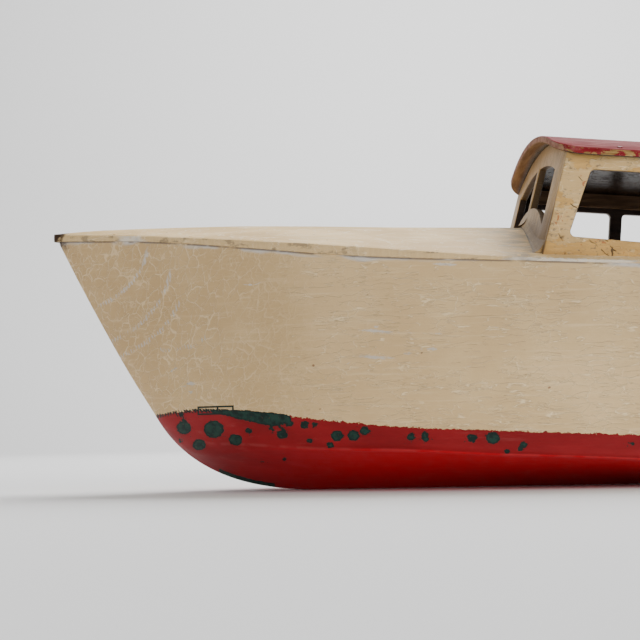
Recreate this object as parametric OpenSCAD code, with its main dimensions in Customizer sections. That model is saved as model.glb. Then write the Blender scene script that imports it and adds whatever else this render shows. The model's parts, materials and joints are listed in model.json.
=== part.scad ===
// Toy cabin cruiser: a carved wooden hull with a ridged deck, a cabin with open windows under an
// arched roof, a cockpit behind it, and an electric drive to a propeller and a rudder.
// Millimetres, +Z up. The bow points to -X, port is -Y, and the flat of the bottom lies on z = 0.
// Inside the modules, x counts from the tip of the bow, and place() moves the boat to its centre.

/* [Hull] */
// Length from the bow to the transom
hull_l = 600; // [590:1:610]
// Greatest width, over the deck
beam = 150; // [148:1:152]
// Thickness of the carved topsides
side_t = 7; // [6:0.5:7]
// Thickness of the carved bottom
bottom_t = 9; // [8:0.5:11]
// Thickness of the transom board
transom_t = 6; // [5:0.5:8]
// Thickness of the deck board
deck_t = 4.5; // [4:0.1:5]

/* [Cabin] */
// Width over the cabin's side walls
cabin_w = 135; // [133:1:135]
// Length of a side window at its top
window_l = 37; // [36:0.5:38]
// Thickness of the cabin's walls
wall_t = 3.5; // [3:0.1:4]
// Rake of the windscreen from upright
screen_rake = 15; // [14:0.5:16]
// How far the windscreen bows forward in its middle
screen_bow = 1.5; // [1:0.1:3]
// Width of the bar in the middle of the windscreen
mullion_w = 5; // [4:0.5:8]
// Width of the posts between the side windows
post_w = 6; // [5:0.5:8]
// Thickness of the roof board
roof_t = 3.2; // [3:0.1:4]
// Radius of the roof's underside
roof_r = 181; // [178:1:184]
// How far the roof stands out in front of the windscreen
roof_front = 5; // [4:0.5:6]
// How far the roof stands out behind the bulkhead
roof_back = 10; // [6:1:14]

/* [Cockpit] */
// Length of the cockpit well
well_l = 126; // [122:1:128]
// Width of the cockpit well
well_w = 104; // [100:1:106]
// Height of the cockpit floor's top above the base
floor_z = 59; // [58:0.5:62]
// Height of the coaming above the ridge of the aft deck
coaming_h = 7; // [5:1:9]

/* [Drive] */
// Diameter of the propeller
prop_d = 25; // [23:0.5:25]
// Number of propeller blades
blades = 3; // [2:1:4]
// Slope of the propeller shaft
shaft_slope = 8; // [7.5:0.1:8.5]
// Diameter of the propeller shaft
shaft_d = 3; // [2.5:0.1:3.2]
// Diameter of the motor's case
motor_d = 27; // [24:1:28]
// Length of the motor's case
motor_l = 38; // [34:1:40]
// Diameter of a battery cell
cell_d = 33; // [32:0.5:33]

/* [Hidden] */
$fn = 48;

drawn_l = 600;                       // the length and the beam at which the lines are drawn
drawn_beam = 150;
cream = [0.83, 0.78, 0.66];
red = [0.62, 0.16, 0.12];
bare_wood = [0.55, 0.42, 0.28];
brass = [0.74, 0.58, 0.30];
steel = [0.62, 0.63, 0.65];

// Stem and keel: a raked stem, a round forefoot, a straight keel and a rising run.
stem_top = 123.6;
stem_round = 2.8;                    // how much the stem curves forward of a straight line
stem_foot = [47, 36.4];              // where the stem ends and the forefoot begins
forefoot_end = 124;                  // where the keel becomes straight
run_start = 440;                     // where the bottom begins to rise
run_full = 505;                      // from here aft it rises in a straight line
run_slope = 0.33;
flat_start = 395;                    // from here aft the bottom is flat from side to side

// The hull's lines, as [distance from the bow, value].
sheer_half = [[0, 0.8], [10, 7.5], [23, 15], [44, 27.5], [72, 43], [95, 54], [123, 64.5],
    [158, 72], [200, 74.5], [250, 75], [320, 75], [400, 74.4], [500, 70.5], [600, 62]];
sheer_height = [[0, 119], [44, 115.4], [95, 108.6], [125, 104.6], [158, 101.8], [210, 99.7],
    [262, 97.6], [330, 95.6], [400, 94.4], [480, 94.2], [600, 96.5]];
chine_half = [[0, 0.6], [10, 4.6], [23, 8.8], [44, 14], [52, 15.5], [60, 18], [72, 24.5], [87, 33],
    [122, 49], [157, 60], [200, 68.3], [260, 71.6], [330, 72], [400, 71], [500, 66.5], [600, 58]];
chine_height = [[0, 121], [10, 109.5], [23, 90], [44, 54], [52, 37], [60, 27], [72, 22.8],
    [87, 22], [122, 19.5], [157, 18.2], [200, 15.7], [260, 12.6], [300, 9], [340, 4.6],
    [375, 1], [395, 0]];
// How much of each leg of the section the chine's rounding takes, from 0 for a sharp chine to 1.
chine_softness = [[0, 0.96], [52, 0.94], [72, 0.55], [90, 0.2], [120, 0.05], [600, 0.03]];
crown_height = [[0, 122.6], [22, 124.1], [84, 125.3], [126, 124.8], [165, 123.9], [213, 123.2],
    [300, 121], [400, 116], [500, 110], [600, 107.5]];
deck_edge = [[0, 2.6], [44, 2.6], [95, 3.6], [125, 4.4], [158, 3.8], [192, 2.2], [215, 1.5],
    [600, 1.5]];
ridge_r = 5;                         // rounding of the deck's ridge
siding = 2.2;                        // half the width of the keel's flat
topside_bulge = 1.4;

// Cabin
screen_z = 148;                      // height of the two places below
screen_s = 231.5;                    // face of the windscreen in its middle
side_s = screen_s + screen_bow;      // face of the windscreen at the side walls
roof_fall = 4;                       // slope of the roof, down towards the stern
roof_s = 240;                        // here the roof's underside is roof_crown high at its crown
roof_crown = 160.3;
post_lean = 5;                       // lean of the posts and of the bulkhead, tops aft
rail_h = 6.5;                        // height of the rail above the side windows
corner_w = 10.9;                     // width of the cabin's corner posts
strip_t = 3;                         // thickness of the strips under the roof
side_windows = 3;                    // windows on each side
half_w = cabin_w / 2;
window_start = side_s + corner_w;    // top front corner of the first window
window_pitch = window_l + post_w;
cabin_l = 2 * corner_w + side_windows * window_pitch - post_w;
bulkhead_s = side_s + cabin_l;       // the bulkhead's forward face at screen_z
wall_low = 93;                       // lower edge of the cabin's walls, below the deck

// Cockpit and stern
well_start = bulkhead_s + wall_t - tan(post_lean) * (screen_z - 98);
well_end = well_start + well_l;
hatch_l = 70;
hatch_w = 92;
hatch_start = well_start + 22;       // clear of the switch on the bulkhead
floor_t = 3;
gap = 0.3;
seam = 0.15;                         // between a raked board and what is scribed to it

// Drive: the shaft's line passes through the middle of the propeller
prop_s = hull_l - 44;
prop_z = 13.4;
tube_r = 3;
rudder_s = hull_l - 21;
stock_r = 1.5;
running = 0.05;                      // radial clearance of a shaft in its tube

// ---- curves -------------------------------------------------------------------------------

function span_of(line, s, i = 0) =
    i >= len(line) - 2 || s <= line[i + 1][0] ? i : span_of(line, s, i + 1);
function slope_of(line, i) =
    let (a = line[max(i - 1, 0)], b = line[min(i + 1, len(line) - 1)])
    (b[1] - a[1]) / (b[0] - a[0]);
// A fair curve through the points of a line, read at a distance s from the bow.
function fair(line, s) =
    let (
        u = s * drawn_l / hull_l,
        i = span_of(line, u),
        w = line[i + 1][0] - line[i][0],
        t = (u - line[i][0]) / w
    )
    (2 * t ^ 3 - 3 * t ^ 2 + 1) * line[i][1] + (t ^ 3 - 2 * t ^ 2 + t) * w * slope_of(line, i)
    + (3 * t ^ 2 - 2 * t ^ 3) * line[i + 1][1] + (t ^ 3 - t ^ 2) * w * slope_of(line, i + 1);

function bezier(p, c, q, t) = (1 - t) ^ 2 * p + 2 * t * (1 - t) * c + t ^ 2 * q;

stem_slope = (stem_top - stem_foot[1]) / stem_foot[0];
forefoot_mid = stem_foot[0] + stem_foot[1] / stem_slope;
// Height of the forefoot's curve, whose control point is where stem and keel would meet.
function forefoot(u) =
    let (
        a = stem_foot[0] - 2 * forefoot_mid + forefoot_end,
        b = 2 * (forefoot_mid - stem_foot[0]),
        t = (sqrt(b ^ 2 - 4 * a * (stem_foot[0] - u)) - b) / (2 * a)
    )
    stem_foot[1] * (1 - t) ^ 2;
function run(u) =
    u < run_full ? run_slope * (u - run_start) ^ 2 / (2 * (run_full - run_start))
    : run_slope * (u - (run_start + run_full) / 2);
function stem(u) =
    let (t = u / stem_foot[0])
    stem_top - stem_slope * u - stem_round * 4 * t * (1 - t);
function keel_z(s) =
    let (u = s * drawn_l / hull_l)
    u < stem_foot[0] ? stem(u)
    : u < forefoot_end ? forefoot(u)
    : u < run_start ? 0
    : run(u);

function sheer_y(s) = fair(sheer_half, s) * beam / drawn_beam;
function sheer_z(s) = fair(sheer_height, s);
function chine_y(s) = fair(chine_half, s) * beam / drawn_beam;
function chine_z(s) = s * drawn_l / hull_l > flat_start ? keel_z(s) : fair(chine_height, s);
function keel_y(s) = min(siding, 0.4 * chine_y(s));

// Height of the deck's top: a ridge with a rounded crest that falls straight to the deck's edge.
function ridge(y) = sqrt(y ^ 2 + ridge_r ^ 2) - ridge_r;
function deck_z(s, y) =
    let (edge = sheer_z(s) + fair(deck_edge, s), crown = fair(crown_height, s))
    crown - (crown - edge) * ridge(y) / ridge(sheer_y(s));

// ---- sections and lofts -------------------------------------------------------------------

function at(s, points) = [for (p = points) [s, p[0], p[1]]];
function mirrored(half) = concat(
    [for (p = half) [-p[0], p[1]]],
    [for (i = [1 : len(half)]) half[len(half) - i]]);

// Half a section of the hull, from the sheer down to the keel.
function hull_half(s) =
    let (
        keel = [keel_y(s), keel_z(s)],
        chine = [chine_y(s), chine_z(s)],
        sheer = [sheer_y(s), sheer_z(s)],
        soft = fair(chine_softness, s),
        low = chine + soft * (keel - chine),
        high = chine + soft * (sheer - chine)
    )
    concat(
        [for (t = [1 : -0.2 : 0.1])
            high + t * (sheer - high) + [4 * t * (1 - t) * (1 - soft) * topside_bulge, 0]],
        [for (t = [1 : -0.25 : -0.01]) bezier(low, chine, high, t)],
        [keel]
    );

// The hollow inside the hull, open at the top and closed at the bottom by the carved floor.
function hollow_half(s) =
    let (
        floor_h = chine_z(s) + bottom_t,
        y_low = chine_y(s) - side_t - 1,
        y_top = sheer_y(s) - side_t,
        top = sheer_z(s) + 12,
        side = [y_low + (y_top - y_low) * 14 / (sheer_z(s) - floor_h), floor_h + 14]
    )
    concat(
        [[y_top + (y_top - y_low) * 12 / (sheer_z(s) - floor_h), top]],
        [for (t = [1 : -0.25 : -0.01]) bezier([y_low - 12, floor_h], [y_low, floor_h], side, t)]
    );

// Half the width of the hollow at a height z above its rounded corner.
function inner_y(s, z) =
    let (floor_h = chine_z(s) + bottom_t, y_low = chine_y(s) - side_t - 1)
    y_low + (sheer_y(s) - side_t - y_low) * (z - floor_h) / (sheer_z(s) - floor_h);

// A solid skin over a row of closed sections with equal numbers of points.
module loft(rings) {
    n = len(rings[0]);
    last = len(rings) - 1;
    polyhedron(
        points = [for (ring = rings) each ring],
        faces = concat(
            [[for (i = [0 : n - 1]) i]],
            [for (r = [0 : last - 1], i = [0 : n - 1])
                [r * n + i, (r + 1) * n + i, (r + 1) * n + (i + 1) % n]],
            [for (r = [0 : last - 1], i = [0 : n - 1])
                [r * n + i, (r + 1) * n + (i + 1) % n, r * n + (i + 1) % n]],
            [[for (i = [0 : n - 1]) last * n + n - 1 - i]]
        )
    );
}

bow_s = 3;
bow_end = 130;
hull_end = hull_l - transom_t;
bow_stations = [for (i = [0 : 21]) bow_s + (bow_end - bow_s) * (i / 22) ^ 1.35];
long_stations = [for (i = [0 : 24]) bow_end + (run_start * hull_l / drawn_l - bow_end) * i / 24];
stern_stations = [for (i = [1 : 12]) let (a = run_start * hull_l / drawn_l) a + (hull_end - a) * i / 12];
stations = concat(bow_stations, long_stations, stern_stations);

module place() {
    translate([-hull_l / 2, 0, 0]) children();
}

// A frame on the shaft's line, x pointing aft and down along it, d from the propeller's middle.
module on_shaft(d) {
    translate([prop_s, 0, prop_z]) rotate([0, shaft_slope, 0]) translate([d, 0, 0]) children();
}
function shaft_z(s) = prop_z + tan(shaft_slope) * (prop_s - s);

module rod(r, l) {
    rotate([0, 90, 0]) cylinder(r = r, h = l);
}

// ---- hull ---------------------------------------------------------------------------------

module hull_body() {
    hollow_start = 78;
    hollow = concat([for (s = stations) if (s > hollow_start && s < hull_end) s], [hull_end + 1]);
    color(cream) place() difference() {
        loft([for (s = stations) at(s, mirrored(hull_half(s)))]);
        loft([for (s = hollow) at(s, mirrored(hollow_half(min(s, hull_end))))]);
        on_shaft(-100) rod(tube_r, 120);
        translate([rudder_s, 0, 20]) cylinder(r = tube_r, h = 60);
    }
}

// The stern board, whose top edge follows the underside of the deck's ridge.
module transom() {
    shares = [for (i = [1 : 15]) 1 - i / 8];        // of half the width, from one sheer to the other
    function top(s, t) = max(sheer_z(s) - gap * (1 - t ^ 2), deck_z(s, t * sheer_y(s)) - deck_t - gap);
    color(cream) place() loft([for (s = [hull_end, hull_l])
        at(s, concat(mirrored(hull_half(s)), [for (t = shares) [t * sheer_y(s), top(s, t)]]))]);
}

// Fin under the run that carries the stern tube.
module skeg() {
    skeg_t = 9;
    toe = run_start * hull_l / drawn_l + 6;
    heel = prop_s - 22;
    steps = [for (s = stations) if (s > toe && s < heel) s];
    color(red) place() difference() {
        translate([0, skeg_t / 2, 0]) rotate([90, 0, 0]) linear_extrude(skeg_t)
            polygon(concat(
                [[toe, 0]],
                [for (s = steps) [s, keel_z(s)]],
                [[heel, keel_z(heel)], [heel - 6, 0]]));
        on_shaft(-100) rod(tube_r, 120);
    }
}

// ---- deck ---------------------------------------------------------------------------------

function deck_ring(s, n = 9) =
    let (
        w = sheer_y(s),
        ys = [for (i = [0 : n]) w * (1 - (i / n) ^ 1.5)],
        low = sheer_z(s)
    )
    concat(
        [for (y = ys) [s, -y, max(low, deck_z(s, y) - deck_t)]],
        [for (i = [1 : n]) [s, ys[n - i], max(low, deck_z(s, ys[n - i]) - deck_t)]],
        [for (y = ys) [s, y, deck_z(s, y)]],
        [for (i = [1 : n]) [s, -ys[n - i], deck_z(s, ys[n - i])]]
    );

screen_r = (half_w ^ 2 + screen_bow ^ 2) / (2 * screen_bow);

// A raked round block whose forward side lies d behind the bowed face of the windscreen.
module behind_screen(d) {
    translate([screen_s, 0, screen_z]) rotate([0, screen_rake, 0]) translate([screen_r + d, 0, 0])
        cylinder(r = screen_r, h = 300, center = true, $fn = 256);
}

// resize() with no new size makes the board one mesh.
module deck() {
    rings = concat([for (s = stations) if (s < well_start - 1) s], [well_start]);
    color(cream) place() resize([0, 0, 0]) difference() {
        loft([for (s = concat([0], rings)) deck_ring(s)]);
        intersection() {
            translate([screen_s - 30, -half_w, 60]) cube([well_start - screen_s + 31, cabin_w, 120]);
            behind_screen(-seam);
        }
    }
}

module aft_deck() {
    rings = concat([well_start], [for (s = stations) if (s > well_start + 1) s], [hull_l]);
    color(cream) place() resize([0, 0, 0]) difference() {
        loft([for (s = rings) deck_ring(s)]);
        translate([well_start - 1, -well_w / 2, 60]) cube([well_l + 1, well_w, 80]);
        translate([bulkhead_s, 0, screen_z]) rotate([0, post_lean, 0])
            translate([-wall_t, -half_w, -100]) cube([2 * wall_t + seam, cabin_w, 150]);
        translate([rudder_s, 0, 60]) cylinder(r = tube_r, h = 80);
    }
}

// A beam under the deck's ridge, from side to side of the hull's hollow.
module deck_beam(s) {
    beam_t = 6;
    beam_h = 8;                      // depth of its ends below the sheer
    w = sheer_y(s) - side_t - 1;
    low = sheer_z(s) - beam_h;
    function top(y) = deck_z(s, y) - deck_t - 2 * gap;
    color(bare_wood) place() translate([s + beam_t, 0, 0]) rotate([90, 0, -90]) linear_extrude(beam_t)
        polygon([[-w, low], [-w, top(w)], [-ridge_r, top(ridge_r)], [ridge_r, top(ridge_r)],
            [w, top(w)], [w, low]]);
}

module beam_fore() {
    deck_beam(150);
}

module beam_cabin() {
    deck_beam(208);
}

module beam_aft() {
    deck_beam(well_end + 3);
}

// Small flush pins round the deck's edge.
module deck_pins() {
    pin_r = 0.9;
    pin_l = 10;
    inset = 3.6;
    fore = [for (s = [30 : 36 : well_start - 20]) s];
    aft = [for (s = [well_start + 18 : 38 : hull_l - 12]) s];
    color(steel) place() for (s = concat(fore, aft), side = [-1, 1])
        translate([s, side * (sheer_y(s) - inset), deck_z(s, sheer_y(s) - inset) + 0.15])
            rotate([-side * 15, 0, 0]) translate([0, 0, -pin_l]) cylinder(r = pin_r, h = pin_l);
}

// ---- cabin --------------------------------------------------------------------------------

// Solid cylinder whose skin is the roof's underside when d is 0, lying along the roof's slope.
module roof_round(d) {
    translate([roof_s, 0, roof_crown - roof_r]) rotate([0, 90 + roof_fall, 0])
        cylinder(r = roof_r + d, h = 600, center = true, $fn = 180);
}

// Height of the roof's underside over the outside of a side wall.
function wall_top(s) = roof_crown - roof_r + sqrt(roof_r ^ 2 - half_w ^ 2) - tan(roof_fall) * (s - roof_s);

// The windscreen: a raked, bowed board with a window on each side of the middle bar.
module cabin_front() {
    inner_w = cabin_w - 2 * wall_t;
    color(cream) place() difference() {
        intersection() {
            difference() {
                behind_screen(0);
                behind_screen(wall_t);
            }
            roof_round(0);
            translate([0, -inner_w / 2, wall_low]) cube([2 * screen_s, inner_w, 100]);
        }
        screen_windows();
    }
}

// Both openings, cut square to the board: arched at the top, over a sill that falls to each side.
module screen_windows() {
    open_w = 48;
    head = on_rake(151);
    head_r = 160;
    sill = on_rake(131.8);
    sill_r = 92;
    translate([screen_s, 0, screen_z]) rotate([0, screen_rake, 0]) rotate([90, 0, 90])
        translate([0, 0, -20]) linear_extrude(60) intersection() {
            difference() {
                translate([-open_w, -45]) square([2 * open_w, 60]);
                translate([-mullion_w / 2, -60]) square([mullion_w, 90]);
                translate([0, sill - sill_r]) circle(r = sill_r, $fn = 180);
            }
            translate([0, head - head_r]) circle(r = head_r, $fn = 180);
        }
}

// Distance along the raked board from screen_z to the height z.
function on_rake(z) = (z - screen_z) / cos(screen_rake);

// A side window with round corners: its four corners are given anticlockwise from the low front.
module window(corners, r) {
    n = len(corners);
    steps = 5;
    function unit(v) = v / norm(v);
    function rounded(i) = let(
        back = unit(corners[(i + n - 1) % n] - corners[i]),
        on = unit(corners[(i + 1) % n] - corners[i]),
        half = acos(back * on) / 2,
        middle = corners[i] + unit(back + on) * r / sin(half),
        start = corners[i] + back * r / tan(half) - middle,
        turn = 180 - 2 * half)
        [for (k = [0 : steps]) let(a = turn * k / steps)
            middle + [start.x * cos(a) - start.y * sin(a), start.x * sin(a) + start.y * cos(a)]];
    polygon([for (i = [0 : n - 1]) each rounded(i)]);
}

// Height of the side windows' lower edge, steeper under the first window.
function sill(s) = s < 264 ? 107.4 - 0.115 * (s - 264) : 107.4 - 0.055 * (s - 264);

module cabin_side(side) {
    color(cream) place() difference() {
        intersection() {
            translate([screen_s - 30, side > 0 ? half_w - wall_t : -half_w, wall_low])
                cube([cabin_l + 60, wall_t, 120]);
            behind_screen(0);
            translate([bulkhead_s, 0, screen_z]) rotate([0, post_lean, 0])
                translate([wall_t - 400, -100, -200]) cube([400, 200, 300]);
            roof_round(0);
        }
        translate([0, side * half_w + 10, 0]) rotate([90, 0, 0]) linear_extrude(20)
            for (i = [0 : side_windows - 1]) side_window(i);
    }
}

module side_window(i) {
    a = window_start + i * window_pitch;
    b = a + window_pitch - post_w;
    top_a = wall_top(a) - rail_h;
    top_b = wall_top(b) - rail_h;
    low_b = b - tan(post_lean) * (top_b - sill(b));
    low_a = i == 0 ? a - 11 : a - tan(post_lean) * (top_a - sill(a));
    window([[low_a, sill(low_a)], [low_b, sill(low_b)], [b, top_b], [a, top_a]], 2.2);
}

module cabin_side_port() {
    cabin_side(-1);
}

module cabin_side_starboard() {
    cabin_side(1);
}

// The bulkhead between cabin and cockpit, with a doorway down to the floor.
module cabin_back() {
    door_w = 40;
    color(cream) place() difference() {
        intersection() {
            translate([bulkhead_s, 0, screen_z]) rotate([0, post_lean, 0])
                translate([0, -half_w + wall_t, -200]) cube([wall_t, cabin_w - 2 * wall_t, 300]);
            roof_round(0);
            translate([0, -100, floor_z]) cube([600, 200, 200]);
        }
        translate([bulkhead_s - 20, 0, 0]) rotate([90, 0, 90]) linear_extrude(60) {
            translate([-door_w / 2, floor_z - 1]) square([door_w, 118 - floor_z]);
            translate([0, 117]) circle(r = door_w / 2);
        }
    }
}

// Hollow moulding in the corner between the foredeck and the windscreen, scribed to both.
module cabin_cove() {
    leg = 5.5;
    under = [for (s = stations) if (s > screen_s - 45 && s < screen_s + 15) s];
    crest_z = deck_z(224, 0) - 0.1;
    crest_s = screen_s - tan(screen_rake) * (screen_z - crest_z);
    foot_z = deck_z(221, half_w);
    drop = atan2(crest_z - foot_z, half_w);
    yaw = atan2(tan(screen_rake) * (crest_z - foot_z) - screen_bow, half_w);
    section = concat([[0, 0]], [for (t = [0 : 0.2 : 1.01])
        bezier([leg * tan(screen_rake), leg], [0, 0.6], [-leg, 0], t)]);
    color(cream) place() resize([0, 0, 0]) difference() {
        intersection() {
            for (side = [0, 1]) mirror([0, side, 0]) translate([crest_s, 0, crest_z])
                rotate([0, 0, -yaw]) rotate([drop, 0, 0]) translate([0, 2, 0]) rotate([90, 0, 0])
                    linear_extrude(half_w + 4) polygon(section);
            translate([0, -half_w + 2, 0]) cube([400, cabin_w - 4, 200]);
        }
        behind_screen(-seam);
        loft([for (s = under) deck_ring(s)]);
    }
}

// A strip along the inside of a side wall that carries the roof.
module roof_strip(side) {
    strip_h = 4;
    color(bare_wood) place() intersection() {
        translate([side_s + 6, side > 0 ? half_w - wall_t - strip_t : -half_w + wall_t, 100])
            cube([cabin_l - 10, strip_t, 80]);
        roof_round(0);
        translate([roof_s, 0, wall_top(roof_s) - strip_h]) rotate([0, roof_fall, 0])
            translate([-100, -100, 0]) cube([400, 200, 40]);
    }
}

module roof_strip_port() {
    roof_strip(-1);
}

module roof_strip_starboard() {
    roof_strip(1);
}

// The roof: a thin arched board with round corners.
module cabin_roof() {
    over = 3;
    corner_r = 14;
    start = side_s - roof_front;
    color(red) place() difference() {
        intersection() {
            roof_round(roof_t);
            translate([start, -half_w - over, 100]) linear_extrude(100)
                round_plate(bulkhead_s + wall_t + roof_back - start, cabin_w + 2 * over, corner_r);
        }
        roof_round(0);
    }
}

// A rectangle from the origin with round corners.
module round_plate(l, w, r) {
    translate([r, 0]) square([l - 2 * r, w]);
    translate([0, r]) square([l, w - 2 * r]);
    for (x = [r, l - r], y = [r, w - r]) translate([x, y]) circle(r = r);
}

// Round-headed pins that hold the roof to the walls.
module roof_pins() {
    pins = 6;
    lean = asin((half_w - wall_t / 2) / roof_r);
    color(steel) place() for (side = [-1, 1], i = [0 : pins - 1]) {
        s = side_s + 12 + i * (cabin_l - 20) / (pins - 1);
        translate([roof_s, 0, roof_crown - roof_r]) rotate([0, roof_fall, 0])
            translate([s - roof_s, 0, 0]) rotate([-side * lean, 0, 0])
                translate([0, 0, roof_r + roof_t]) {
                    translate([0, 0, -7]) cylinder(r = 0.5, h = 7);
                    cylinder(r = 1.2, h = 0.4);
                }
    }
}

// Outline of a floor between two places, following the hull's sides.
module floor_outline(a, b) {
    z = floor_z - floor_t;
    function w(s) = inner_y(s, z) - gap;
    polygon([[a, -w(a)], [b, -w(b)], [b, w(b)], [a, w(a)]]);
}

floor_join = well_start - 1;         // where the cabin's floor meets the cockpit's

module cabin_floor() {
    color(bare_wood) place() translate([0, 0, floor_z - floor_t]) linear_extrude(floor_t)
        floor_outline(screen_s - 4, floor_join);
}

// A cross piece under the floors.
module floor_bearer(s) {
    bearer_t = 5;
    bearer_h = 8;
    w = inner_y(s, floor_z - floor_t - bearer_h) - gap;
    color(bare_wood) place() translate([s, -w, floor_z - floor_t - bearer_h])
        cube([bearer_t, 2 * w, bearer_h]);
}

module bearer_fore() {
    floor_bearer(screen_s + 2);
}

module bearer_mid() {
    floor_bearer(floor_join - 6);
}

module bearer_aft() {
    floor_bearer(well_end - 12);
}

// ---- cockpit ------------------------------------------------------------------------------

// The bulkhead's after face at the height z.
function after_face(z) = bulkhead_s + wall_t / cos(post_lean) - tan(post_lean) * (screen_z - z);

module cockpit_floor() {
    color(bare_wood) place() difference() {
        translate([0, 0, floor_z - floor_t]) linear_extrude(floor_t) floor_outline(floor_join, well_end);
        translate([hatch_start - gap, -hatch_w / 2 - gap, floor_z - 10])
            cube([hatch_l + 2 * gap, hatch_w + 2 * gap, 20]);
    }
}

module floor_hatch() {
    color(bare_wood) place() translate([hatch_start, -hatch_w / 2, floor_z - floor_t])
        cube([hatch_l, hatch_w, floor_t]);
}

// A strip under the edge of the cockpit floor, on which the hatch rests.
module hatch_ledge(side) {
    ledge_w = 8;
    ledge_h = 4;
    ledge_z = floor_z - floor_t - ledge_h;
    color(bare_wood) place() translate([hatch_start, side * hatch_w / 2 - ledge_w / 2, ledge_z])
        cube([hatch_l, ledge_w, ledge_h]);
}

module hatch_ledge_port() {
    hatch_ledge(-1);
}

module hatch_ledge_starboard() {
    hatch_ledge(1);
}

module hatch_knob() {
    color(brass) place() translate([hatch_start + hatch_l - 12, 0, floor_z]) rotate_extrude()
        polygon([[0, 0], [3.2, 0], [2, 1.5], [2, 3], [3.6, 4.4], [3.2, 6], [0, 6.6]]);
}

coaming_t = 2.5;
coaming_top = fair(crown_height, well_end) + coaming_h;

// A side coaming: from the bulkhead aft, its top falling to the height of the after coaming.
module coaming_side(side) {
    low = 92;
    high = coaming_top + 6;
    color(bare_wood) place() translate([0, side * (well_w / 2 - coaming_t / 2) + coaming_t / 2, 0])
        rotate([90, 0, 0]) linear_extrude(coaming_t)
            polygon([[after_face(low), low], [well_end, low], [well_end, coaming_top],
                [after_face(high), high]]);
}

module coaming_port() {
    coaming_side(-1);
}

module coaming_starboard() {
    coaming_side(1);
}

module coaming_aft() {
    w = well_w - 2 * coaming_t;
    color(bare_wood) place() translate([well_end - coaming_t, -w / 2, floor_z])
        cube([coaming_t, w, coaming_top - floor_z]);
}

seat_z = 84;                         // underside of the seat
seat_l = 26;
seat_t = 4;

module seat_board() {
    w = well_w - 2 * coaming_t;
    color(bare_wood) place() translate([well_end - seat_l, -w / 2, seat_z])
        cube([seat_l - coaming_t, w, seat_t]);
}

module seat_front() {
    w = well_w - 2 * coaming_t;
    color(bare_wood) place() translate([well_end - seat_l + 2, -w / 2, floor_z])
        cube([3, w, seat_z - floor_z]);
}

// ---- drive --------------------------------------------------------------------------------

motor_back = -112;                   // after end of the motor's case, from the propeller's middle
tube_back = -20;                     // after end of the stern tube
tube_front = -92;

module motor_case() {
    color(steel) place() on_shaft(motor_back) difference() {
        union() {
            translate([-motor_l, 0, 0]) rod(motor_d / 2, motor_l);
            rod(4.5, 3);
            translate([-motor_l - 3, 0, 0]) rod(4.5, 3);
        }
        translate([-motor_l - 10, 0, 0]) rod(1 + running, motor_l + 20);
    }
}

module motor_shaft() {
    color(steel) place() on_shaft(motor_back - motor_l - 5) rod(1, motor_l + 17);
}

// Wooden block under the motor, hollowed to its round case.
module motor_bed() {
    bed_l = 26;
    bed_w = motor_d;
    start = prop_s + cos(shaft_slope) * (motor_back - motor_l / 2) - bed_l / 2;
    color(bare_wood) place() difference() {
        translate([start, -bed_w / 2, bottom_t]) cube([bed_l, bed_w, 20]);
        on_shaft(motor_back - motor_l - 30) rod(motor_d / 2, motor_l + 60);
    }
}

// Metal strap over the motor, with a foot on each side.
module motor_strap() {
    strap_t = 0.8;
    strap_w = 8;
    outer = motor_d / 2 + strap_t;
    color(brass) place() on_shaft(motor_back - motor_l / 2) difference() {
        union() {
            translate([-strap_w / 2, 0, 0]) rod(outer, strap_w);
            translate([-strap_w / 2, -outer, -16]) cube([strap_w, 2 * outer, 16]);
        }
        translate([-20, 0, 0]) rod(motor_d / 2, 40);
        translate([-20, -motor_d / 2, -20]) cube([40, motor_d, 20]);
    }
}

module coupling() {
    color(brass) place() on_shaft(tube_front - 14) difference() {
        rod(3.6, 12);
        translate([-1, 0, 0]) rod(1, 7.5);
        translate([5, 0, 0]) rod(shaft_d / 2, 10);
    }
}

module propeller_shaft() {
    front = tube_front - 8;
    color(steel) place() on_shaft(front) rod(shaft_d / 2, 10 - front);
}

module stern_tube() {
    color(brass) place() on_shaft(tube_front) difference() {
        rod(tube_r, tube_back - tube_front);
        translate([-1, 0, 0]) rod(shaft_d / 2 + running, tube_back - tube_front + 2);
    }
}

// The propeller: a boss with blades, each a thin round plate set at an angle.
module propeller() {
    boss_r = 3.5;
    boss_l = 8;
    blade_r = 5.2;
    pitch_angle = 38;
    color(brass) place() on_shaft(0) difference() {
        union() {
            translate([-boss_l / 2, 0, 0]) rod(boss_r, boss_l);
            for (i = [0 : blades - 1]) rotate([360 * i / blades, 0, 0])
                translate([0, 0, prop_d / 2 - blade_r]) rotate([0, 0, pitch_angle]) blade(blade_r, boss_r);
        }
        translate([-20, 0, 0]) rod(shaft_d / 2, 40);
    }
}

module blade(r, boss_r) {
    blade_t = 0.9;
    root = prop_d / 2 - r - boss_r + 1;
    translate([-blade_t / 2, 0, 0]) {
        rod(r, blade_t);
        translate([0, -2.2, -root]) cube([blade_t, 4.4, root]);
    }
}

module propeller_nut() {
    color(brass) place() on_shaft(4.1) difference() {
        rotate([0, 90, 0]) cylinder(r = 3.2, h = 3, $fn = 6);
        translate([-1, 0, 0]) rod(shaft_d / 2, 6);
    }
}

// ---- steering -----------------------------------------------------------------------------

tube_top = fair(crown_height, rudder_s) + 1;
tube_low = keel_z(rudder_s) - 2;
tiller_z = tube_top + 0.4;

module rudder_tube() {
    color(brass) place() translate([rudder_s, 0, tube_low]) difference() {
        cylinder(r = tube_r, h = tube_top - tube_low);
        translate([0, 0, -1]) cylinder(r = stock_r + running, h = tube_top - tube_low + 2);
    }
}

rudder_t = 1.6;                      // thickness of the rudder's blade
blade_top = tube_low - 1.5;

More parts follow.
